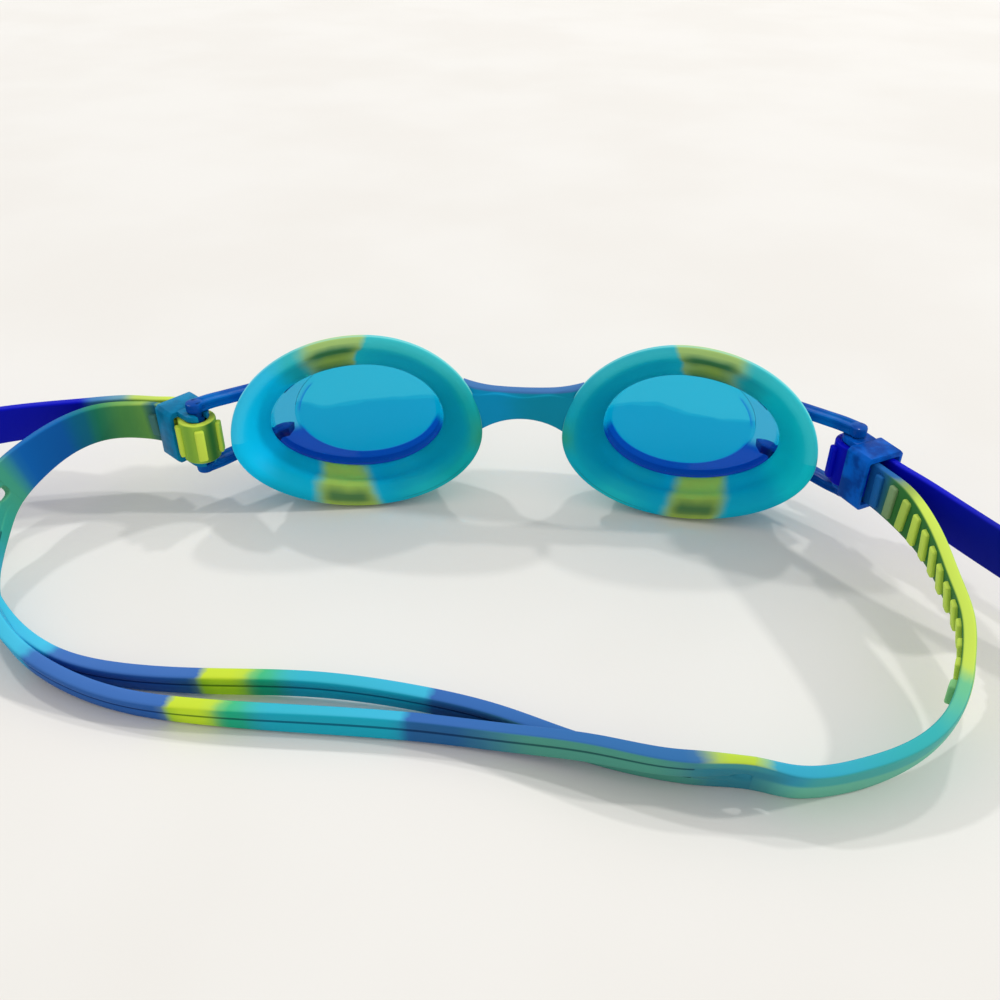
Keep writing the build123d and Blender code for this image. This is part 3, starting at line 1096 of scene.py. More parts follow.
@dataclass
class EyeFrame:
    """Where an eye stands: its rim plane is turned out, leans forward and is rolled."""

    side: Side
    eye_x: float = 35.8
    eye_z: float = 18.9
    yaw: float = 7.1
    tilt: float = 6.5
    roll: float = -2.2
    axes: Matrix = field(init=False)

    def __post_init__(self) -> None:
        """Works out the eye's axes: to the temple, up, and back to the face."""
        yaw, tilt = math.radians(self.yaw), math.radians(self.tilt)
        outward = Vector((math.cos(yaw), -math.sin(yaw), 0))
        ahead = Vector((math.sin(yaw), math.cos(yaw), 0))
        upward = UP * math.cos(tilt) + ahead * math.sin(tilt)
        turned = Matrix.Rotation(math.radians(self.roll), 3, UP)
        spun = [turned @ axis for axis in (outward, upward)]
        columns = (spun[0], spun[1], spun[0].cross(spun[1]))
        self.axes = Matrix(columns).transposed()

    def point(self, depth: float, flat: Vector) -> Vector:
        """A point at a depth ahead of the rim plane.

        Args:
            depth: how far ahead of the rim plane.
            flat: its place in the plane, to the temple and up.

        Returns:
            The point, mirrored for the left eye.
        """
        place = Vector((self.eye_x, 0, self.eye_z)) + self.axes @ Vector((flat.x, flat.y, -depth))
        return Vector((place.x * self.side.value, place.y, place.z))

    def ring(self, depth: float, oval: Oval) -> Callable[[float], Vector]:
        """A ring for Workpiece.rings."""
        return lambda turn: self.point(depth, oval.at(turn))


RIM = Oval(30.4, 27.4, 24.6, 18.1)
OPENING = Oval(22.1, 18.6, 14.1, 12.0)


@dataclass
class EyeSeal(Moulding):
    """A flared silicone cup, from its rounded lip at the face to the collar that grips the lens."""

    eye: EyeFrame
    around: int = 160
    collar_wall: float = 4.2
    roundness: float = 3.0
    slot: ClassVar[Slot] = Slot.SEAL
    crease: ClassVar[float] = 50.0

    @property
    def name(self) -> str:
        """The piece's name."""
        return f"seal_{self.eye.side.word}"

    def profile(self) -> list[tuple[float, Oval]]:
        """Depths and ovals round the wall: up the throat, over the lip, down the outside, into the groove."""
        collar = OPENING.grown(self.collar_wall)
        return [
            (10.9, OPENING.grown(0.1)), (10.5, OPENING), (9.4, OPENING.grown(0.1)), (6.6, OPENING.grown(1.6)),
            (3.4, RIM.grown(-5.3)), (1.1, RIM.grown(-3.7)), (0.0, RIM.grown(-2.5)), (0.0, RIM.grown(-0.8)),
            (0.5, RIM.grown(-0.3)), (1.7, RIM.grown(-0.35)), (4.6, RIM.grown(-2.5)), (7.0, collar.grown(1.6)),
            (10.0, collar.grown(0.1)), (13.2, collar.grown(-0.3)), (13.8, collar.grown(-0.9)),
            (13.8, OPENING.grown(1.5)), (13.4, OPENING.grown(0.95)), (11.3, OPENING.grown(0.9)),
        ]

    def mould(self, work: Workpiece) -> None:
        """Adds the cup as rings round its softened profile."""
        knots = [(depth, oval.top, oval.nose, oval.temple, oval.bottom) for depth, oval in self.profile()]
        rows = softened(np.array(knots), self.roundness)
        rows = np.vstack((rows, rows[:1]))
        rings = [self.eye.ring(depth, Oval(temple, nose, top, bottom))
                 for depth, top, nose, temple, bottom in rows]
        work.rings(self.around, rings, True)


@dataclass
class NoseBridge(Moulding):
    """The silicone strip between the two seals, arched over the nose, flared and pinched at its roots."""

    middle_y: float = 6.9
    thickness: float = 3.4
    top: float = 30.0
    dip: float = 1.0
    under: float = 22.2
    root: float = 14.0
    arch_half: float = 14.0
    half_length: float = 13.8
    half_steps: int = 24
    flare: float = 1.6
    flare_start: float = 6.0
    pinch: float = 1.2
    pinch_start: float = 10.8
    pinch_length: float = 3.0
    ledge_drop: float = 0.9
    ledge_wave: float = 0.25
    ledge_pace: float = 0.55
    ledge_fall: float = 0.5
    ledge_width: float = 0.9
    edge: float = 0.5
    slot: ClassVar[Slot] = Slot.SEAL
    crease: ClassVar[float] = 40.0

    @property
    def name(self) -> str:
        """The piece's name."""
        return "nose_bridge"

    def arc(self, x: float, end: float, crown: float) -> float:
        """Height of a round arc through its crown at the mid-plane and its ends."""
        rise = crown - end
        radius = (self.arch_half ** 2 + rise ** 2) / (2 * abs(rise))
        drop = radius - math.sqrt(radius ** 2 - x ** 2)
        return crown - math.copysign(drop, rise)

    def section(self, station: Station) -> Outline:
        """The section at a station: a low ledge runs along the face side of its top.

        Args:
            station: where it stands, its distance counted from the mid-plane.

        Returns:
            The closed section.
        """
        x = station.distance
        near = max(0.0, (abs(x) - self.flare_start) / (self.half_length - self.flare_start))
        back = self.thickness / 2 + self.flare * near ** 2
        top = self.arc(x, self.top, self.top - self.dip)
        low = self.arc(x, self.root, self.under)
        wave = self.ledge_wave * math.cos(x * self.ledge_pace)
        ledge = top - self.ledge_drop - wave - self.ledge_fall * near
        pinched = max(0.0, (abs(x) - self.pinch_start) / self.pinch_length)
        face = self.thickness / 2 - self.pinch * pinched ** 1.5
        corners = [(-back, low), (face, low), (face, ledge), (face - 0.5, ledge + 0.1),
                   (face - self.ledge_width, top), (-back, top)]
        return rounded(corners, self.edge)

    def mould(self, work: Workpiece) -> None:
        """Adds the strip as one sweep from root to root."""
        steps = [self.half_length * (index / self.half_steps - 1) for index in range(2 * self.half_steps + 1)]
        along, face = Vector((1, 0, 0)), Vector((0, -1, 0))
        stations = [Station(Vector((x, self.middle_y, 0)), along, face, x) for x in steps]
        work.sweep(stations, self.section, self.thickness / 2)


# ------------------------------------------------------------------ lenses
@dataclass
class LensPan(Moulding):
    """The tinted pan: a flange held in the seal, a side wall and a flat window with a sloped temple side."""

    eye: EyeFrame
    wall: float = 1.2
    recess: float = 0.4
    flange_back: float = 10.8
    flange: float = 1.4
    flange_reach: float = 2.2
    wall_front: float = 13.8
    window_front: float = 16.6
    window_thickness: float = 1.5
    temple_step: float = 6.0
    other_step: float = 1.2
    edge: float = 0.2
    brow: float = 0.5
    around: int = 144
    slot: ClassVar[Slot] = Slot.LENS
    crease: ClassVar[float] = 24.0

    @property
    def name(self) -> str:
        """The piece's name."""
        return f"lens_pan_{self.eye.side.word}"

    @property
    def outer(self) -> Oval:
        """Outside of the side wall."""
        return OPENING.grown(self.wall - self.recess)

    def window(self, step: float) -> Oval:
        """Outline of the window, set in on the temple side, and further in by a step."""
        other = self.other_step
        return Oval(self.outer.temple - self.temple_step - step, self.outer.nose - other - step,
                    self.outer.top - other - step, self.outer.bottom - other - step)

    def profile(self) -> list[tuple[float, Oval]]:
        """Depths and ovals: down the wall's inside, round the flange, and up its outside to the window."""
        outer, edge = self.outer, self.edge
        inner = outer.grown(-self.wall)
        foot = OPENING.grown(self.flange_reach)
        back, front = self.flange_back, self.flange_back + self.flange
        inside = self.window_front - self.window_thickness
        return [
            (inside, self.window(self.wall + 0.4)), (inside - 0.12, self.window(self.wall - 0.1)),
            (self.wall_front + 0.1, inner.grown(-0.12)), (self.wall_front - 0.3, inner), (back + edge, inner),
            (back, inner.grown(edge)), (back, foot.grown(-edge)),
            (back + edge, foot), (front - edge, foot), (front, foot.grown(-edge)),
            (front, outer.grown(edge)), (front + edge, outer), (self.wall_front - edge, outer),
            (self.wall_front + 0.1, outer.grown(-0.12)), (self.window_front - self.brow, self.window(0.0)),
            (self.window_front - edge, self.window(0.12)), (self.window_front - 0.03, self.window(0.35)),
            (self.window_front, self.window(0.6)),
        ]

    def mould(self, work: Workpiece) -> None:
        """Adds the pan as rings along its profile."""
        work.rings(self.around, [self.eye.ring(depth, oval) for depth, oval in self.profile()], False)


@dataclass
class StrapFork(Moulding):
    """The two arms of a lens, which spread to hubs above and below the buckle, and the post between them."""

    side: Side
    foot: tuple[float, float] = (57.5, 14.25)
    root: tuple[float, float] = (58.0, 14.2)
    flat: tuple[float, float] = (71.0, 1.7)
    thickness: float = 2.2
    width: float = 3.4
    groove: float = 0.35
    groove_start: float = 3.0
    edge: float = 0.28
    bend: float = 1.2
    upper: float = 26.3
    lower: float = 10.5
    splay: float = 1.6
    hub_radius: float = 1.95
    hub_edge: float = 0.45
    hub_shave: float = 0.12
    post_radius: float = 1.8
    journal_radius: float = 1.4
    bay_low: float = 13.2
    around: int = 40
    slot: ClassVar[Slot] = Slot.LENS

    @property
    def name(self) -> str:
        """The piece's name."""
        return f"arms_{self.side.word}"

    def arm_section(self, station: Station) -> Outline:
        """The arm's section, with a groove along each upright face and the top.

        Args:
            station: where it stands, its distance counted from the arm's foot.

        Returns:
            The closed section.
        """
        a, b = self.width / 2, self.thickness / 2
        deep = self.groove * min(1.0, max(0.0, station.distance - self.groove_start))
        mouth, bed = 0.35 * b, 0.2 * b
        top_mouth, top_bed, top_floor = 0.32 * a, 0.2 * a, b - 0.7 * deep
        corners = [(-a, -b), (a, -b), (a, -mouth), (a - deep, -bed), (a - deep, bed), (a, mouth), (a, b),
                   (top_mouth, b), (top_bed, top_floor), (-top_bed, top_floor), (-top_mouth, b), (-a, b),
                   (-a, mouth), (-a + deep, bed), (-a + deep, -bed), (-a, -mouth)]
        return rounded(corners, self.edge, 2)

    def mirrored(self, x: float, y: float, z: float) -> Vector:
        """A point given for the right side, on this side."""
        return Vector((x * self.side.value, y, z))

    def arm(self, work: Workpiece, level: float, splay: float) -> None:
        """Adds one arm.

        Args:
            work: the piece that gets it.
            level: the level of its hub.
            splay: how much higher its root lies.
        """
        places = [self.mirrored(*self.foot, level + splay), self.mirrored(*self.root, level + splay),
                  self.mirrored(*self.flat, level), self.mirrored(POST.x, POST.y, level)]
        line: list[Vector] = [places[0]]
        for index in (1, 2):
            here = places[index]
            back = (places[index - 1] - here).normalized()
            on = (places[index + 1] - here).normalized()
            for t in (0.0, 0.25, 0.5, 0.75, 1.0):
                line.append(here + back * self.bend * (1 - t) ** 2 + on * self.bend * t ** 2)
        line.append(places[-1])
        stations: list[Station] = []
        distance = 0.0
        for index, place in enumerate(line):
            before, after = line[max(index - 1, 0)], line[min(index + 1, len(line) - 1)]
            heading = (after - before).normalized()
            distance += (place - before).length
            stations.append(Station(place, heading, heading.cross(UP).normalized(), distance))
        work.sweep(stations, self.arm_section, self.width / 2)

    def post(self, work: Workpiece) -> None:
        """Adds the hubs and the post as one turned shape.

        Args:
            work: the piece that gets them.
        """
        low, high = self.lower - self.thickness / 2, self.lower + self.thickness / 2
        hub, edge, shave = self.hub_radius, self.hub_edge, self.hub_shave
        rings = [(0.0, low), (hub - edge, low), (hub - shave, low + shave), (hub, low + edge),
                 (hub, high - edge), (hub - shave, high - shave), (hub - edge, high),
                 (self.journal_radius, high),
                 (self.journal_radius, self.bay_low), (self.post_radius, self.bay_low)]
        rings += [(radius, 2 * STRAP_LEVEL - level) for radius, level in reversed(rings)]
        centre = self.mirrored(POST.x, POST.y, 0)

        def ring(radius: float, level: float) -> Callable[[float], Vector]:
            """One turned ring."""
            return lambda turn: centre + Vector((radius * math.cos(math.tau * turn),
                                                 radius * math.sin(math.tau * turn), level))

        work.rings(self.around, [ring(radius, level) for radius, level in rings], False)

    def mould(self, work: Workpiece) -> None:
        """Adds the arms and the post."""
        self.arm(work, self.upper, -self.splay)
        self.arm(work, self.lower, self.splay)
        self.post(work)


# ------------------------------------------------------------------ buckles
@dataclass
class Buckle(Moulding):
    """A box sleeve for two layers of strap, with a C-shaped ear above and below that clips on the post."""

    side: Side
    angle: float
    start: float = 2.8
    length: float = 6.4
    half_width: float = 5.0
    half_bay: float = 4.1
    floor_low: float = 11.8
    floor_high: float = 13.2
    roof_low: float = 23.6
    roof_high: float = 25.0
    cut: float = 0.8
    bay_cut: float = 0.3
    corner: float = 0.12
    mouth_edge: float = 0.3
    mouth_shave: float = 0.08
    ear_radius: float = 2.9
    ear_lap: float = 0.5
    ear_edge: float = 0.16
    ear_steps: int = 12
    hole: float = 1.48
    mouth: float = 2.2
    slot: ClassVar[Slot] = Slot.BUCKLE

    @property
    def name(self) -> str:
        """The piece's name."""
        return f"sleeve_{self.side.word}"

    @property
    def body(self) -> str:
        """The body that the buckle is."""
        return f"{self.side.word}_buckle"

    @property
    def end(self) -> float:
        """How far from its post the sleeve ends."""
        return self.start + self.length

    def axes(self) -> Matrix:
        """The sleeve's own axes at the post: along the sleeve, to the loop's inside, and up."""
        away = Vector((math.cos(math.radians(self.angle)), math.sin(math.radians(self.angle)), 0))
        inside = UP.cross(away) * -self.side.value
        place = Matrix((away, inside, UP)).transposed().to_4x4()
        place.translation = Vector((POST.x * self.side.value, POST.y, 0))
        return place

    def sleeve(self, work: Workpiece) -> None:
        """Adds the box with its bay and lightly rounded mouths.

        Args:
            work: the piece that gets it.
        """
        middle = (self.floor_low + self.roof_high) / 2
        outer = (2 * self.half_width, self.roof_high - self.floor_low, self.cut)
        inner = (2 * self.half_bay, self.roof_low - self.floor_high, self.bay_cut)
        start, end, edge, shave = self.start, self.end, self.mouth_edge, self.mouth_shave
        stages = [(start + edge, outer, 0.0), (end - edge, outer, 0.0), (end - shave, outer, 0.16),
                  (end, outer, 0.6), (end, inner, -0.25), (end - 0.25, inner, 0.0),
                  (start + 0.25, inner, 0.0), (start, inner, -0.25), (start, outer, 0.6),
                  (start + shave, outer, 0.16), (start + edge, outer, 0.0)]
        place = self.axes()
        loops: list[list[Vector]] = []
        for along, (wide, tall, cut), inset in stages:
            outline = chamfered(wide - inset, tall - inset, cut, self.corner)
            loops.append([place @ Vector((along, across, middle + up)) for across, up in outline])
        count = len(loops[0])
        rings = [lambda turn, loop=loop: loop[round(turn * count) % count] for loop in loops]
        work.rings(count, rings, True)

    def ear(self, work: Workpiece, low: float, high: float) -> None:
        """Adds one C-shaped ear.

        Args:
            work: the piece that gets it.
            low: level of its underside.
            high: level of its top.
        """
        lip = self.mouth / 2
        outer_end = math.pi - math.asin(lip / self.ear_radius)
        inner_end = math.pi - math.asin(lip / self.hole)
        back = self.start + self.ear_lap
        half: Outline = []
        for step in range(self.ear_steps + 1):
            turn = outer_end + (math.pi / 2 - outer_end) * step / self.ear_steps
            half.append((self.ear_radius * math.cos(turn), self.ear_radius * math.sin(turn)))
        outline = half + [(back, self.ear_radius), (back, -self.ear_radius)]
        outline += [(x, -y) for x, y in reversed(half)]
        for step in range(2 * self.ear_steps + 1):
            turn = -inner_end + inner_end * step / self.ear_steps
            outline.append((self.hole * math.cos(turn), self.hole * math.sin(turn)))
        work.plate(outline, low, high, self.ear_edge, self.axes())

    def mould(self, work: Workpiece) -> None:
        """Adds the sleeve and its two ears."""
        self.sleeve(work)
        self.ear(work, self.floor_low, self.floor_high)
        self.ear(work, self.roof_low, self.roof_high)


# ------------------------------------------------------------------ strap
LEFT_LOOP = [(-89.4, 5.9, 18.0, -6), (-97.8, 4.4, 18.2, -10), (-105.4, -2.3, 17.6, -5),
             (-110.2, -10.6, 15.9, 9), (-112.4, -20.0, 14.2, 22)]
FRONT_BAND = [(-113.3, -31.2, 12.5, 20), (-109.0, -42.4, 10.0, 17), (-101.4, -51.5, 8.0, 16),
              (-93.5, -58.8, 5.8, 14), (-83.2, -64.6, 4.2, 13), (-71.3, -68.4, 3.3, 14),
              (-56.0, -70.4, 3.25, 9), (-36.0, -71.0, 3.2, -2), (-15.0, -71.7, 3.2, -4),
              (2.0, -74.1, 4.2, -1), (16.2, -77.7, 6.6, 3), (29.0, -80.6, 7.6, 11)]
REAR_BAND = [(-111.0, -31.0, 7.6, 13), (-107.3, -41.6, 5.2, 3), (-101.0, -49.3, 3.5, -6),
             (-93.0, -55.7, 3.1, -8), (-84.6, -59.8, 3.0, 0), (-72.7, -62.3, 3.2, 10),
             (-56.6, -63.4, 3.8, 7), (-36.5, -63.5, 4.4, 7), (-16.7, -65.5, 4.2, 10),
             (-0.8, -69.0, 3.6, 9), (13.2, -74.2, 3.2, 9), (27.5, -77.8, 3.1, 10)]
RIGHT_LOOP = [(41.0, -80.4, 5.7, 17), (48.0, -81.4, 5.6, 20), (58.4, -79.7, 5.6, 18),
              (69.4, -75.1, 6.7, 16), (77.6, -67.9, 8.1, 6), (82.4, -59.6, 10.4, -9),
              (84.7, -50.8, 13.0, -16), (84.6, -41.9, 14.7, -17), (83.9, -33.2, 16.3, -13),
              (82.4, -24.9, 17.5, -7), (79.7, -17.3, 18.4, 0)]
TAILS = {
    Side.LEFT: [(-85.0, 8.3, 18.1, -5), (-92.7, 8.9, 18.1, -10), (-102.2, 7.4, 18.0, -13),
                (-112.7, 5.0, 17.8, -13), (-123.6, 2.0, 17.3, -11), (-134.2, -1.6, 16.4, -7),
                (-145.1, -5.4, 15.4, -3), (-156.0, -9.5, 14.3, 0), (-166.5, -13.5, 13.0, 2)],
    Side.RIGHT: [(84.6, -14.4, 18.2, 0), (89.8, -21.6, 17.7, 0), (95.2, -28.4, 16.9, 0),
                 (101.0, -35.0, 15.9, 0), (104.5, -38.8, 15.2, 0)],
}


@dataclass
class Strap:
    """The strap: toothed ends doubled back through the buckles, and two narrow bands round the head."""

    buckles: dict[Side, Buckle]
    width: float = 10.0
    thickness: float = 1.8
    layer: float = 2.1
    bend_radius: float = 3.3
    neck_radius: float = 3.0
    band_thickness: float = 2.8
    band_width: float = 4.9
    half_band: float = 2.55
    band_growth: float = 10.0
    rib_pitch: float = 4.48
    rib_length: float = 2.1
    rib_height: float = 7.8
    rib_proud: float = 0.9
    rib_root: float = 0.3
    rib_edge: float = 0.42
    block_length: float = 2.2
    block_height: float = 5.4
    block_proud: float = 1.2
    block_edge: float = 0.45
    side_ribs: int = 24
    edge: float = 0.5
    eyelet: float = 1.1
    eyelet_steps: int = 6
    groove: float = 0.28
    groove_half: float = 0.35
    tip: float = 3.2
    tip_steps: int = 10
    sleeve_middle: float = 3.2
    extra: float = 0.6
    extra_growth: float = 9.0
    fine_step: float = 0.35
    band_step: float = 0.7
    crease: float = 40.0
    loop_ribs: dict[Side, int] = field(default_factory=lambda: {Side.LEFT: 0, Side.RIGHT: 12})
    first_ribs: dict[Side, float] = field(default_factory=lambda: {Side.LEFT: 3.7, Side.RIGHT: 2.75})
    turn_ribs: dict[Side, tuple[float, ...]] = field(default_factory=lambda: {
        Side.LEFT: (3.95, 8.43, 12.91, 17.39, 26.2),
        Side.RIGHT: (1.73, 6.21, 10.69, 15.17, 19.65, 24.13, 28.61)})

    # ---- places at the buckles
    def in_buckle(self, side: Side, along: float, across: float) -> RoutePoint:
        """A route point given on the buckle's own axes."""
        place = self.buckles[side].axes() @ Vector((along, across, STRAP_LEVEL))
        return (place.x, place.y, place.z, 0.0)

    def away(self, side: Side) -> Vector:
        """The way a sleeve points from its post."""
        return self.buckles[side].axes().col[0].to_3d()

    def neck(self) -> tuple[float, float, float]:
        """Where the strap bends from the sleeve to the post.

        Returns:
            How far from the post the neck's round is centred, how far aside, and the turn at which it meets
            the post's round.
        """
        lift = self.layer + self.neck_radius
        reach = math.sqrt((self.bend_radius + self.neck_radius) ** 2 - lift ** 2)
        return reach, lift, math.atan2(lift, reach)

    def turn_points(self, side: Side) -> list[RoutePoint]:
        """Route points from the loop's side of the sleeve round the post to the tail's side.

        Args:
            side: which buckle.

        Returns:
            The points, in order.
        """
        reach, lift, touch = self.neck()
        end = self.buckles[side].end
        half = [(end, self.layer), (end - 1.8, self.layer), (reach + 1.2, self.layer)]
        for share in (0.0, 0.5, 1.0):
            turn = -math.pi / 2 - (math.pi / 2 - touch) * share
            half.append((reach + self.neck_radius * math.cos(turn), lift + self.neck_radius * math.sin(turn)))
        for share in (0.2, 0.4, 0.6, 0.8):
            turn = touch + (math.pi - touch) * share
            half.append((self.bend_radius * math.cos(turn), self.bend_radius * math.sin(turn)))
        whole = half + [(-self.bend_radius, 0.0)] + [(x, -y) for x, y in reversed(half)]
        return [self.in_buckle(side, x, y) for x, y in whole]

    def turn_length(self) -> float:
        """Length of the strap from a sleeve's rear mouth round the post and back to it."""
        reach, _, touch = self.neck()
        end = self.buckles[Side.LEFT].end
        rounds = self.neck_radius * (math.pi / 2 - touch) + self.bend_radius * (math.pi - touch)
        return 2 * (end - reach + rounds)

    # ---- sections
    def single(self, _: Station) -> Outline:
        """Section of the single strap, the same at every station."""
        return oblong(self.thickness, self.width, self.edge)

    def thickened(self, first: float, last: float) -> Callable[[Station], Outline]:
        """Sections of the right single strap, which is thicker on its outside between a fork and a sleeve.

        Args:
            first: distance where it starts to grow.
            last: distance where it is back to its own thickness.

        Returns:
            The function that gives a station its section.
        """
        def section(station: Station) -> Outline:
            """Section at a station."""
            into = min(station.distance - first, last - station.distance)
            more = self.extra * eased(into / self.extra_growth)
            return [(x + more / 2, y) for x, y in oblong(self.thickness + more, self.width, self.edge)]
        return section

    def band(self, raised: int, first: float, last: float) -> Callable[[Station], Outline]:
        """Sections of a band, grooved along its faces and drawn in round the eyelets at its two ends.

        Args:
            raised: 1 for the upper band at the fork, -1 for the lower.
            first: distance of the left eyelet.
            last: distance of the right eyelet.

        Returns:
            The function that gives a station its section.
        """
        def section(station: Station) -> Outline:
            """Section at a station."""
            into = min(station.distance - first, last - station.distance)
            share = eased(into / self.band_growth)
            thick = self.thickness + (self.band_thickness - self.thickness) * share
            span = self.eyelet if into < 0 else 2.2 * self.eyelet
            hole = self.eyelet * math.sqrt(max(0.0, 1 - (into / span) ** 2))
            pull = max(0.0, hole - 0.05)
            a, low, high = thick / 2, -self.band_width / 2, self.band_width / 2
            if raised > 0:
                low += pull
            else:
                high -= pull
            bed = a - self.groove * share
            seam = (low + high) / 2 + self.groove_half
            under, over = seam - self.groove_half, seam + self.groove_half
            corners = [(-a, low), (a, low), (a, under), (bed, seam), (a, over), (a, high),
                       (-a, high), (-a, over), (-bed, seam), (-a, under)]
            return rounded(corners, self.edge + 0.1 * share)
        return section

    # ---- details
    def rib(self, work: Workpiece, station: Station, face: float, size: Vector, edge: float) -> None:
        """Adds a bar across the strap.

        Args:
            work: the piece that gets it.
            station: where it stands.
            face: 1 or -1 for the face it stands on, along the station's side.
            size: its height over the face with its root, its length along the strap and its width across.
            edge: the round of its edges.
        """
        up = station.side.cross(station.heading)
        place = Matrix((station.side, station.heading, up)).transposed().to_4x4()
        out = face * (self.thickness / 2 - self.rib_root + size.x / 2)
        place.translation = station.at(out, 0)
        work.block(size, edge, place, (-2.0, station.distance * MM))

    def ribs(self, work: Workpiece, stations: Sequence[Station], distances: Iterable[float],
             face: float) -> None:
        """Adds a rib at each distance along the stations, on the face of that sign."""
        size = Vector((self.rib_proud + self.rib_root, self.rib_length, self.rib_height))
        for distance in distances:
            self.rib(work, station_at(stations, distance), face, size, self.rib_edge)

    def stop_bar(self, work: Workpiece, station: Station, face: float) -> None:
        """Adds the broader bar that ends a row of ribs."""
        size = Vector((self.block_proud + self.rib_root, self.block_length, self.block_height))
        self.rib(work, station, face, size, self.block_edge)

    def tapered(self, end: float) -> Callable[[Station], Outline]:
        """Sections of a tail, drawn in over its last few millimetres.

        Args:
            end: distance of its tip.

        Returns:
            The function that gives a station its section.
        """
        def section(station: Station) -> Outline:
            """Section at a station."""
            into = min(1.0, max(0.0, (station.distance - end + self.tip) / self.tip))
            wide = self.width * (0.55 + 0.45 * math.sqrt(max(0.0, 1 - into ** 2.4)))
            thick = self.thickness * (1 - 0.35 * into ** 6)
            return oblong(thick, wide, self.edge)
        return section

    # ---- pieces
    def end_piece(self, side: Side, material: bpy.types.Material) -> bpy.types.Object:
        """Makes the turn round a post and the tail beyond the sleeve, which ride on the buckle.

        Args:
            side: which end.
            material: its dye.

        Returns:
            The piece.
        """
        away = self.away(side)
        turn = Route(self.turn_points(side), start=-away, finish=away, spacing=self.fine_step).stations()
        scale = self.turn_length() / turn[-1].distance
        turn = [Station(s.place, s.heading, s.side, s.distance * scale) for s in turn]
        turn = [station for station in turn if station.distance >= self.sleeve_middle]
        leave = self.in_buckle(side, self.buckles[side].end, -self.layer)
        tail = Route([leave] + TAILS[side], start=away, begin=self.turn_length()).stations()
        tail += [tail[-1].moved(self.tip * (step + 1) / self.tip_steps) for step in range(self.tip_steps)]
        whole = turn[:-1] + tail
        work = Workpiece()
        work.sweep(whole, self.tapered(whole[-1].distance), self.thickness / 2)
        turn_ribs = self.turn_ribs[side]
        left_over = self.side_ribs - len(turn_ribs) - self.loop_ribs[side]
        tail_ribs = [turn_ribs[-1] + self.rib_pitch * (index + 1) for index in range(left_over)]
        self.ribs(work, whole, [*turn_ribs, *tail_ribs], -side.value)
        return work.finish(f"strap_end_{side.word}", material, Slot.STRAP, self.crease)

    def fork_heading(self, single: RoutePoint, front: RoutePoint, rear: RoutePoint) -> Vector:
        """Heading where the single strap meets the middle of its two bands."""
        return ((Vector(front[:3]) + Vector(rear[:3])) / 2 - Vector(single[:3])).normalized()

    def band_end(self, point: RoutePoint, raised: int, heading: Vector) -> RoutePoint:
        """Where a band's middle lies at a fork, up or down the leaning strap."""
        side = Matrix.Rotation(math.radians(point[3]), 3, heading) @ heading.cross(UP).normalized()
        place = Vector(point[:3]) + side.cross(heading) * self.half_band * raised
        return (*place, float(point[3]))

    def add_bands(self, works: dict[Side, Workpiece], leave: Vector, meet: Vector, fork: float) -> float:
        """Adds both bands, each shared between the two halves of the loop at the mid-plane.

        Args:
            works: the two halves.
            leave: heading at the left fork.
            meet: heading at the right fork.
            fork: distance of the left fork.

        Returns:
            The distance at which the longer band ends.
        """
        longest = fork
        ahead = [self.eyelet * step / self.eyelet_steps for step in range(1, self.eyelet_steps + 1)]
        for raised, route in ((1, FRONT_BAND), (-1, REAR_BAND)):
            points = [self.band_end(LEFT_LOOP[-1], raised, leave), *route,
                      self.band_end(RIGHT_LOOP[0], raised, meet)]
            band = Route(points, leave, meet, fork, self.band_step).stations()
            last = band[-1].distance
            longest = max(longest, last)
            lead = [band[0].moved(-step) for step in reversed(ahead)]
            trail = [band[-1].moved(step) for step in ahead]
            split = next(index for index, station in enumerate(band) if station.place.x > 0)
            section = self.band(raised, fork, last)
            works[Side.LEFT].sweep(lead + band[:split + 1], section, self.band_thickness / 2)
            works[Side.RIGHT].sweep(band[split:] + trail, section, self.band_thickness / 2)
        return longest

    def loop_pieces(self, left: bpy.types.Material, right: bpy.types.Material) -> list[bpy.types.Object]:
        """Makes the loop in two halves, each with its single strap and half of both bands.

        Args:
            left: dye of the left half.
            right: dye of the right half.

        Returns:
            The left and the right piece.
        """
        left_exit, right_exit = (self.in_buckle(side, self.buckles[side].end, self.layer) for side in Side)
        leave = self.fork_heading(LEFT_LOOP[-2], FRONT_BAND[0], REAR_BAND[0])
        meet = -self.fork_heading(RIGHT_LOOP[1], FRONT_BAND[-1], REAR_BAND[-1])
        works = {Side.LEFT: Workpiece(), Side.RIGHT: Workpiece()}
        near = Route([left_exit] + LEFT_LOOP, self.away(Side.LEFT), leave).stations()
        near = [near[0].moved(-self.sleeve_middle)] + near
        fork = near[-1].distance
        longest = self.add_bands(works, leave, meet, fork)
        far = Route(RIGHT_LOOP + [right_exit], meet, -self.away(Side.RIGHT), longest).stations()
        far_exit = far[-1].distance
        far = far + [far[-1].moved(self.sleeve_middle)]
        near_end = station_at(near, fork - self.eyelet)
        near_single = [station for station in near if station.distance < near_end.distance - 0.1] + [near_end]
        far_start = station_at(far, longest + self.eyelet)
        far_single = [far_start] + [station for station in far if station.distance > far_start.distance + 0.1]
        works[Side.LEFT].sweep(near_single, self.single, self.thickness / 2)
        works[Side.RIGHT].sweep(far_single, self.thickened(longest + 1.0, far_exit - 2.0), self.thickness / 2)
        for side, stations, exit_at, way in ((Side.LEFT, near, 0.0, 1), (Side.RIGHT, far, far_exit, -1)):
            count, first = self.loop_ribs[side], self.first_ribs[side]
            places = [exit_at + way * (first + index * self.rib_pitch) for index in range(count + 1)]
            self.ribs(works[side], stations, places[:-1], -1)
            self.stop_bar(works[side], station_at(stations, places[-1]), -1)
        return [works[Side.LEFT].finish("strap_loop_left", left, Slot.STRAP, self.crease),
                works[Side.RIGHT].finish("strap_loop_right", right, Slot.STRAP, self.crease)]


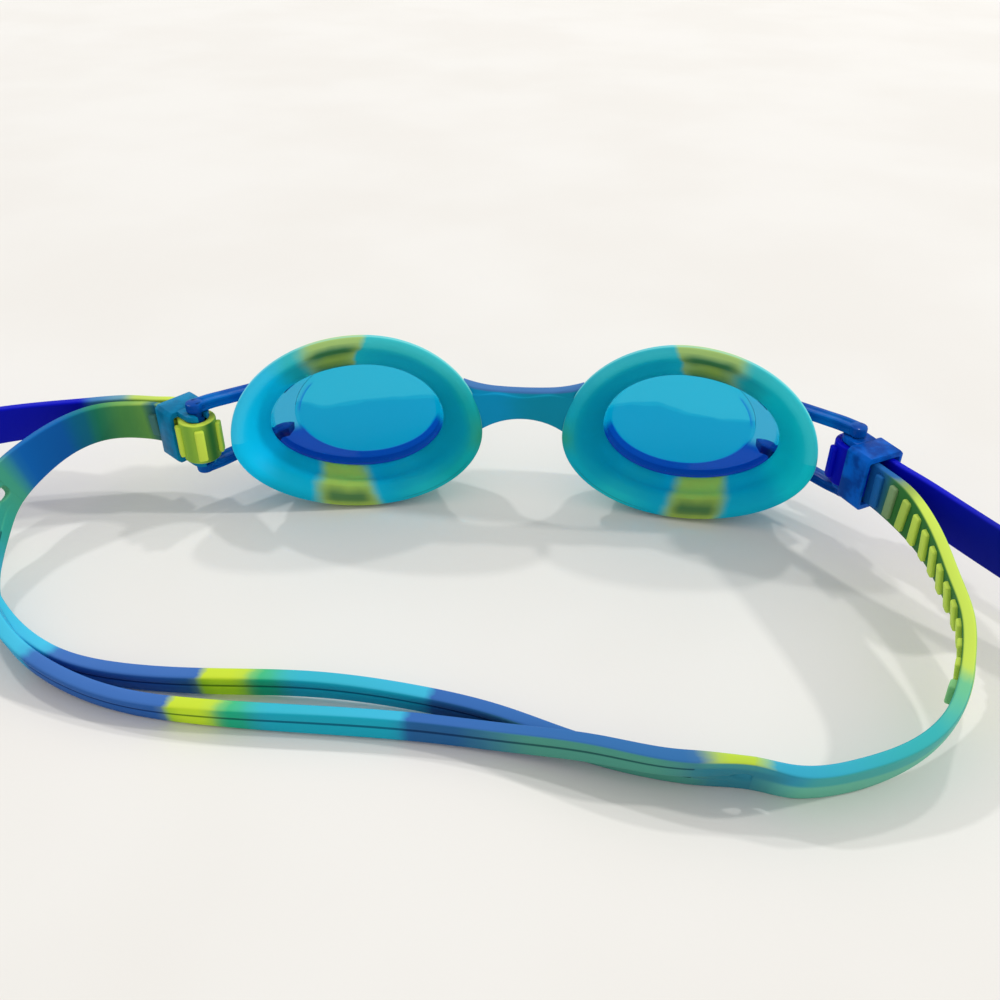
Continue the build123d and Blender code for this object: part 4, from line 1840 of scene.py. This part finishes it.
# ------------------------------------------------------------------ stage
@dataclass(frozen=True)
class Lamp:
    """A square lamp that looks at the goggles: place and size in metres, power in watts."""

    name: str
    place: Vector
    size: float
    power: float
    colour: Colour
    aim: ClassVar[Vector] = Vector((0, 0, 0.01))

    def build(self) -> None:
        """Hangs the lamp."""
        data = bpy.data.lights.new(self.name, "AREA")
        data.size = self.size
        data.energy = self.power
        data.color = self.colour
        lamp = bpy.data.objects.new(self.name, data)
        lamp.location = self.place
        lamp.rotation_euler = (self.aim - self.place).to_track_quat("-Z", "Y").to_euler()
        bpy.context.scene.collection.objects.link(lamp)


LAMPS = (
    Lamp("side", Vector((4.05, 0.36, 2.61)), 0.22, 71.0, (1.0, 0.98, 0.95)),
    Lamp("back_left", Vector((-2.25, 2.25, 3.42)), 0.22, 43.0, (0.98, 0.99, 1.0)),
    Lamp("back_right", Vector((1.08, 2.52, 3.6)), 0.25, 33.0, (1.0, 0.99, 0.97)),
)


@dataclass
class Stage:
    """Pale floor, soft lamps, white surround and the camera, with its place in the goggles' millimetres."""

    camera_place: Vector = field(default_factory=lambda: Vector((4.806, -193.91, 139.11)))
    azimuth: float = -2.81
    elevation: float = 35.01
    roll: float = 0.61
    lens: float = 36.08
    sensor: float = 36.0
    nearest: float = 0.01
    ambient: float = 0.68
    floor_half: float = 3.0
    floor_steps: int = 8

    def floor(self) -> None:
        """Makes the floor just under the seals."""
        bm = bmesh.new()
        steps = self.floor_steps
        bmesh.ops.create_grid(bm, x_segments=steps, y_segments=steps, size=self.floor_half)
        mesh = bpy.data.meshes.new("floor")
        bm.to_mesh(mesh)
        bm.free()
        floor = bpy.data.objects.new("floor", mesh)
        bpy.context.scene.collection.objects.link(floor)
        stone = Finish(0.6, 0.2, 0.05, 900.0, sheen=0.06)
        veined = Plain("floor_stone", stone, (0.80, 0.775, 0.735), (0.825, 0.805, 0.77), 9.0)
        mesh.materials.append(veined.build())

    def surround(self) -> None:
        """Lights the object evenly and shows white to the camera and in reflections."""
        world = bpy.data.worlds.new("surround")
        world.use_nodes = True
        graph = Graph(world.node_tree)
        path = graph.node("ShaderNodeLightPath").outputs
        seen = graph.maths("ADD", path["Is Camera Ray"], path["Is Glossy Ray"], clamp=True)
        seen = graph.maths("ADD", seen, path["Is Transmission Ray"], clamp=True)
        strength = graph.maths("ADD", self.ambient, graph.times(seen, 1 - self.ambient))
        back = graph.node("ShaderNodeBackground", None, Color=(1, 1, 1, 1), Strength=strength)
        graph.node("ShaderNodeOutputWorld", None, Surface=back.outputs[0])
        bpy.context.scene.world = world

    def camera(self) -> None:
        """Sets the camera."""
        az, el, roll = (math.radians(angle) for angle in (self.azimuth, self.elevation, self.roll))
        look = Vector((math.sin(az) * math.cos(el), math.cos(az) * math.cos(el), -math.sin(el)))
        level = Vector((math.cos(az), -math.sin(az), 0))
        raised = level.cross(look)
        right = level * math.cos(roll) + raised * math.sin(roll)
        up = raised * math.cos(roll) - level * math.sin(roll)
        data = bpy.data.cameras.new("camera")
        data.lens = self.lens
        data.sensor_width = self.sensor
        data.clip_start = self.nearest
        camera = bpy.data.objects.new("camera", data)
        turned = Matrix((right, up, -look)).transposed().to_4x4()
        turned.translation = DATUM @ self.camera_place
        camera.matrix_world = turned
        bpy.context.scene.collection.objects.link(camera)
        bpy.context.scene.camera = camera

    def build(self) -> None:
        """Sets the stage."""
        self.camera()
        self.floor()
        self.surround()
        for lamp in LAMPS:
            lamp.build()
        bpy.context.scene.view_settings.view_transform = "Standard"


# ------------------------------------------------------------------ goggles
SILICONE = Finish(0.5, 0.16, 0.10, 3500.0, ior=1.41, sheen=0.1)
LENS_CLEAR = Finish(0.06, 0.04, 0.02, 900.0, clear=1.0, coat=0.25, ior=1.08)
ARM_PLASTIC = Finish(0.16, 0.1, 0.04, 1500.0, coat=0.04, ior=1.5, sheen=0.04)
BUCKLE_PLASTIC = Finish(0.36, 0.14, 0.14, 2600.0, ior=1.5, sheen=0.04)


def cup_colours(temple: Colour, top: Colour, nose: Colour, crown: tuple[float, float]) -> tuple[Stop, ...]:
    """Colours round a cup, with a lime crown and a lime foot.

    Args:
        temple: its colour at the temple.
        top: its colour between the crown and the nose.
        nose: its colour at the nose.
        crown: the turns between which its crown is lime.

    Returns:
        The stops from the temple by way of the top and back.
    """
    first, last = crown
    return ((0.0, temple), (0.12, temple), (first - 0.032, TEAL), (first, LIME), (last, LIME),
            (last + 0.006, top), (0.36, top), (0.45, nose), (0.60, nose), (0.66, TEAL), (0.722, SEA_BLUE),
            (0.750, LIME), (0.804, LIME), (0.828, SEA_BLUE), (0.87, SEA_BLUE), (0.94, temple), (1.0, temple))


def build_seals() -> None:
    """Makes the two eye seals and the nose bridge."""
    crowns = {Side.LEFT: (0.194, 0.255), Side.RIGHT: (0.202, 0.266)}
    tones = {Side.LEFT: ((0.001, 0.58, 0.94), TEAL, (0.002, 0.42, 0.44)),
             Side.RIGHT: ((0.002, 0.60, 0.70), (0.006, 0.50, 0.62), (0.001, 0.42, 0.56))}
    pieces = []
    for side in Side:
        colours = cup_colours(*tones[side], crowns[side])
        # The last colour is the painted shade of the throat.
        dye = SealDye(f"seal_dye_{side.word}", SILICONE, colours, crowns[side], (0.001, 0.34, 0.56))
        pieces.append(EyeSeal(EyeFrame(side)).build(dye.build()))
    pieces.append(NoseBridge().build(BridgeDye("bridge_dye", SILICONE).build()))
    for piece in pieces:
        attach(piece, "goggles")
        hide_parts("frame_seal")


def build_lenses() -> None:
    """Makes the two lens pans and their forked arms."""
    # The foot colours are painted shade.
    tint = LensTint("lens_tint", LENS_CLEAR, pale=(0.025, 0.50, 0.76), full=(0.0005, 0.37, 0.67),
                    foot=(0.001, 0.040, 0.36), painted_foot_shade_edge=(0.001, 0.13, 0.68), side=(0.05, 0.44, 0.72)).build()
    navy = Plain("arm_tint", ARM_PLASTIC, (0.0005, 0.06, 0.34), (0.001, 0.14, 0.50)).build()
    for side in Side:
        for piece in (LensPan(EyeFrame(side)).build(tint), StrapFork(side).build(navy)):
            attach(piece, "goggles")
            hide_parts(f"lens_{side.word}")


def build_buckles() -> dict[Side, Buckle]:
    """Makes the two buckles.

    Returns:
        The buckles by side.
    """
    buckles = {Side.LEFT: Buckle(Side.LEFT, 140.0), Side.RIGHT: Buckle(Side.RIGHT, -61.0)}
    tints = {Side.LEFT: ((0.001, 0.15, 0.31), (0.002, 0.22, 0.44)),
             Side.RIGHT: ((0.001, 0.05, 0.30), (0.002, 0.12, 0.58))}
    for side, buckle in buckles.items():
        piece = buckle.build(Plain(f"buckle_tint_{side.word}", BUCKLE_PLASTIC, *tints[side], 260.0).build())
        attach(piece, buckle.body)
        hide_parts(f"buckle_{side.word}")
    return buckles


def loop_dye() -> StrapDye:
    """Dye of the loop, from the left sleeve by way of the bands to the right sleeve."""
    stops = (
        (1.8, (0.34, 0.54, 0.08)), (2.8, (0.008, 0.13, 0.20)), (4.6, (0.008, 0.13, 0.20)),
        (5.8, (0.32, 0.50, 0.09)), (12.0, (0.18, 0.40, 0.09)), (18.0, (0.03, 0.26, 0.12)),
        (22.5, (0.005, 0.17, 0.28)), (27.0, (0.004, 0.13, 0.42)), (38.0, (0.004, 0.14, 0.44)),
        (43.5, (0.10, 0.40, 0.22)), (54.0, (0.06, 0.42, 0.28)), (66.0, (0.04, 0.50, 0.66)),
        (96.0, (0.06, 0.52, 0.76)), (99.0, PERIWINKLE),
        (127.6, PERIWINKLE), (128.9, BRIGHT_LIME), (135.5, BRIGHT_LIME), (139.5, (0.06, 0.50, 0.22)),
        (147.0, (0.04, 0.46, 0.60)), (170.8, (0.05, 0.47, 0.68)), (172.0, (0.04, 0.145, 0.44)),
        (222.0, (0.035, 0.16, 0.40)), (227.5, (0.50, 0.68, 0.06)), (231.5, (0.50, 0.68, 0.06)),
        (235.5, (0.04, 0.40, 0.58)), (264.0, (0.04, 0.44, 0.45)), (276.0, (0.16, 0.56, 0.30)),
        (281.0, (0.60, 0.78, 0.10)), (318.5, (0.60, 0.78, 0.10)), (325.6, (0.28, 0.40, 0.09)),
        (329.0, (0.01, 0.12, 0.38)),
    )
    undertones = (Undertone(222.5, 236.0, (0.03, 0.22, 0.30), 7.4, 8.8, 2.5),
                  Undertone(236.0, 275.0, (0.14, 0.50, 0.36), 4.8, 6.2))
    streaks = (
        Streak(128.9, 137.0, (0.62, 0.84, 0.03)), Streak(138.0, 143.0, (0.006, 0.44, 0.24), soft=4.0),
        Streak(145.0, 171.0, (0.008, 0.41, 0.54)), Streak(171.5, 186.0, (0.02, 0.12, 0.30)),
        Streak(188.0, 224.0, (0.09, 0.36, 0.23), soft=9.0), Streak(224.0, 238.0, (0.03, 0.27, 0.36)),
        Streak(240.0, 276.0, (0.06, 0.40, 0.36)),
    )
    # The valleys get a dark green painted shade between the teeth near the right buckle.
    return StrapDye("strap_loop_dye", SILICONE, stops, reach=460.0, offset=20.0, valleys=(279.0, 328.5),
                    painted_valley_shade=(0.08, 0.24, 0.045), undertones=undertones, streaks=streaks)


def end_dyes() -> dict[Side, StrapDye]:
    """Dyes of the two turns with their tails: lime into navy on the left, navy all along on the right."""
    left_stops = (
        (0.0, (0.40, 0.58, 0.07)), (6.0, (0.62, 0.78, 0.08)), (30.0, (0.62, 0.78, 0.08)),
        (41.0, (0.50, 0.66, 0.12)), (45.0, (0.14, 0.34, 0.45)), (51.0, (0.06, 0.22, 0.48)), (54.5, NAVY),
        (130.0, NAVY),
    )
    right_stops = ((0.0, NAVY), (40.0, NAVY), (60.0, (0.002, 0.008, 0.34)))
    # Painted shade: dark green in two valleys between the turn's teeth.
    streaks = (Streak(9.4, 12.0, (0.12, 0.33, 0.04), 0.7, 1.6),
               Streak(13.4, 16.6, (0.015, 0.15, 0.03), 0.95, 1.6))
    # The left end's upright faces get a lighter painted shade.
    left = StrapDye("strap_end_dye_left", SILICONE, left_stops, reach=200.0, offset=10.0, valleys=(4.0, 26.0),
                    # Painted shade: dark green on the inner face along the turn.
                    painted_valley_shade=(0.07, 0.28, 0.05), painted_face_shade=(0.74, 0.86, 0.84), streaks=streaks)
    right = StrapDye("strap_end_dye_right", SILICONE, right_stops, reach=200.0, offset=10.0)
    return {Side.LEFT: left, Side.RIGHT: right}


def build_strap(buckles: dict[Side, Buckle]) -> None:
    """Makes the strap: two loop halves, and two ends that ride on the buckles.

    Args:
        buckles: the buckles by side.
    """
    strap = Strap(buckles)
    loop = loop_dye().build()
    fades = {Side.LEFT: ((-82.0, 3.0), (-90.0, -30.0)), Side.RIGHT: ((77.0, -10.0), (84.0, -45.0))}
    for side, half in zip(Side, strap.loop_pieces(loop, loop)):
        start, end = (DATUM @ Vector((x, y, STRAP_LEVEL)) for x, y in fades[side])
        buckles[side].body
        tuple(start)
        tuple(end)
        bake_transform(half)
        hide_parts("strap")
    for side, dye in end_dyes().items():
        piece = strap.end_piece(side, dye.build())
        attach(piece, buckles[side].body)
        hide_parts("strap")


def main() -> None:
    """Builds the stage and the goggles."""
    logging.basicConfig(level=logging.INFO)
    Stage().build()
    build_seals()
    build_lenses()
    build_strap(build_buckles())


if __name__ == "__main__":
    main()
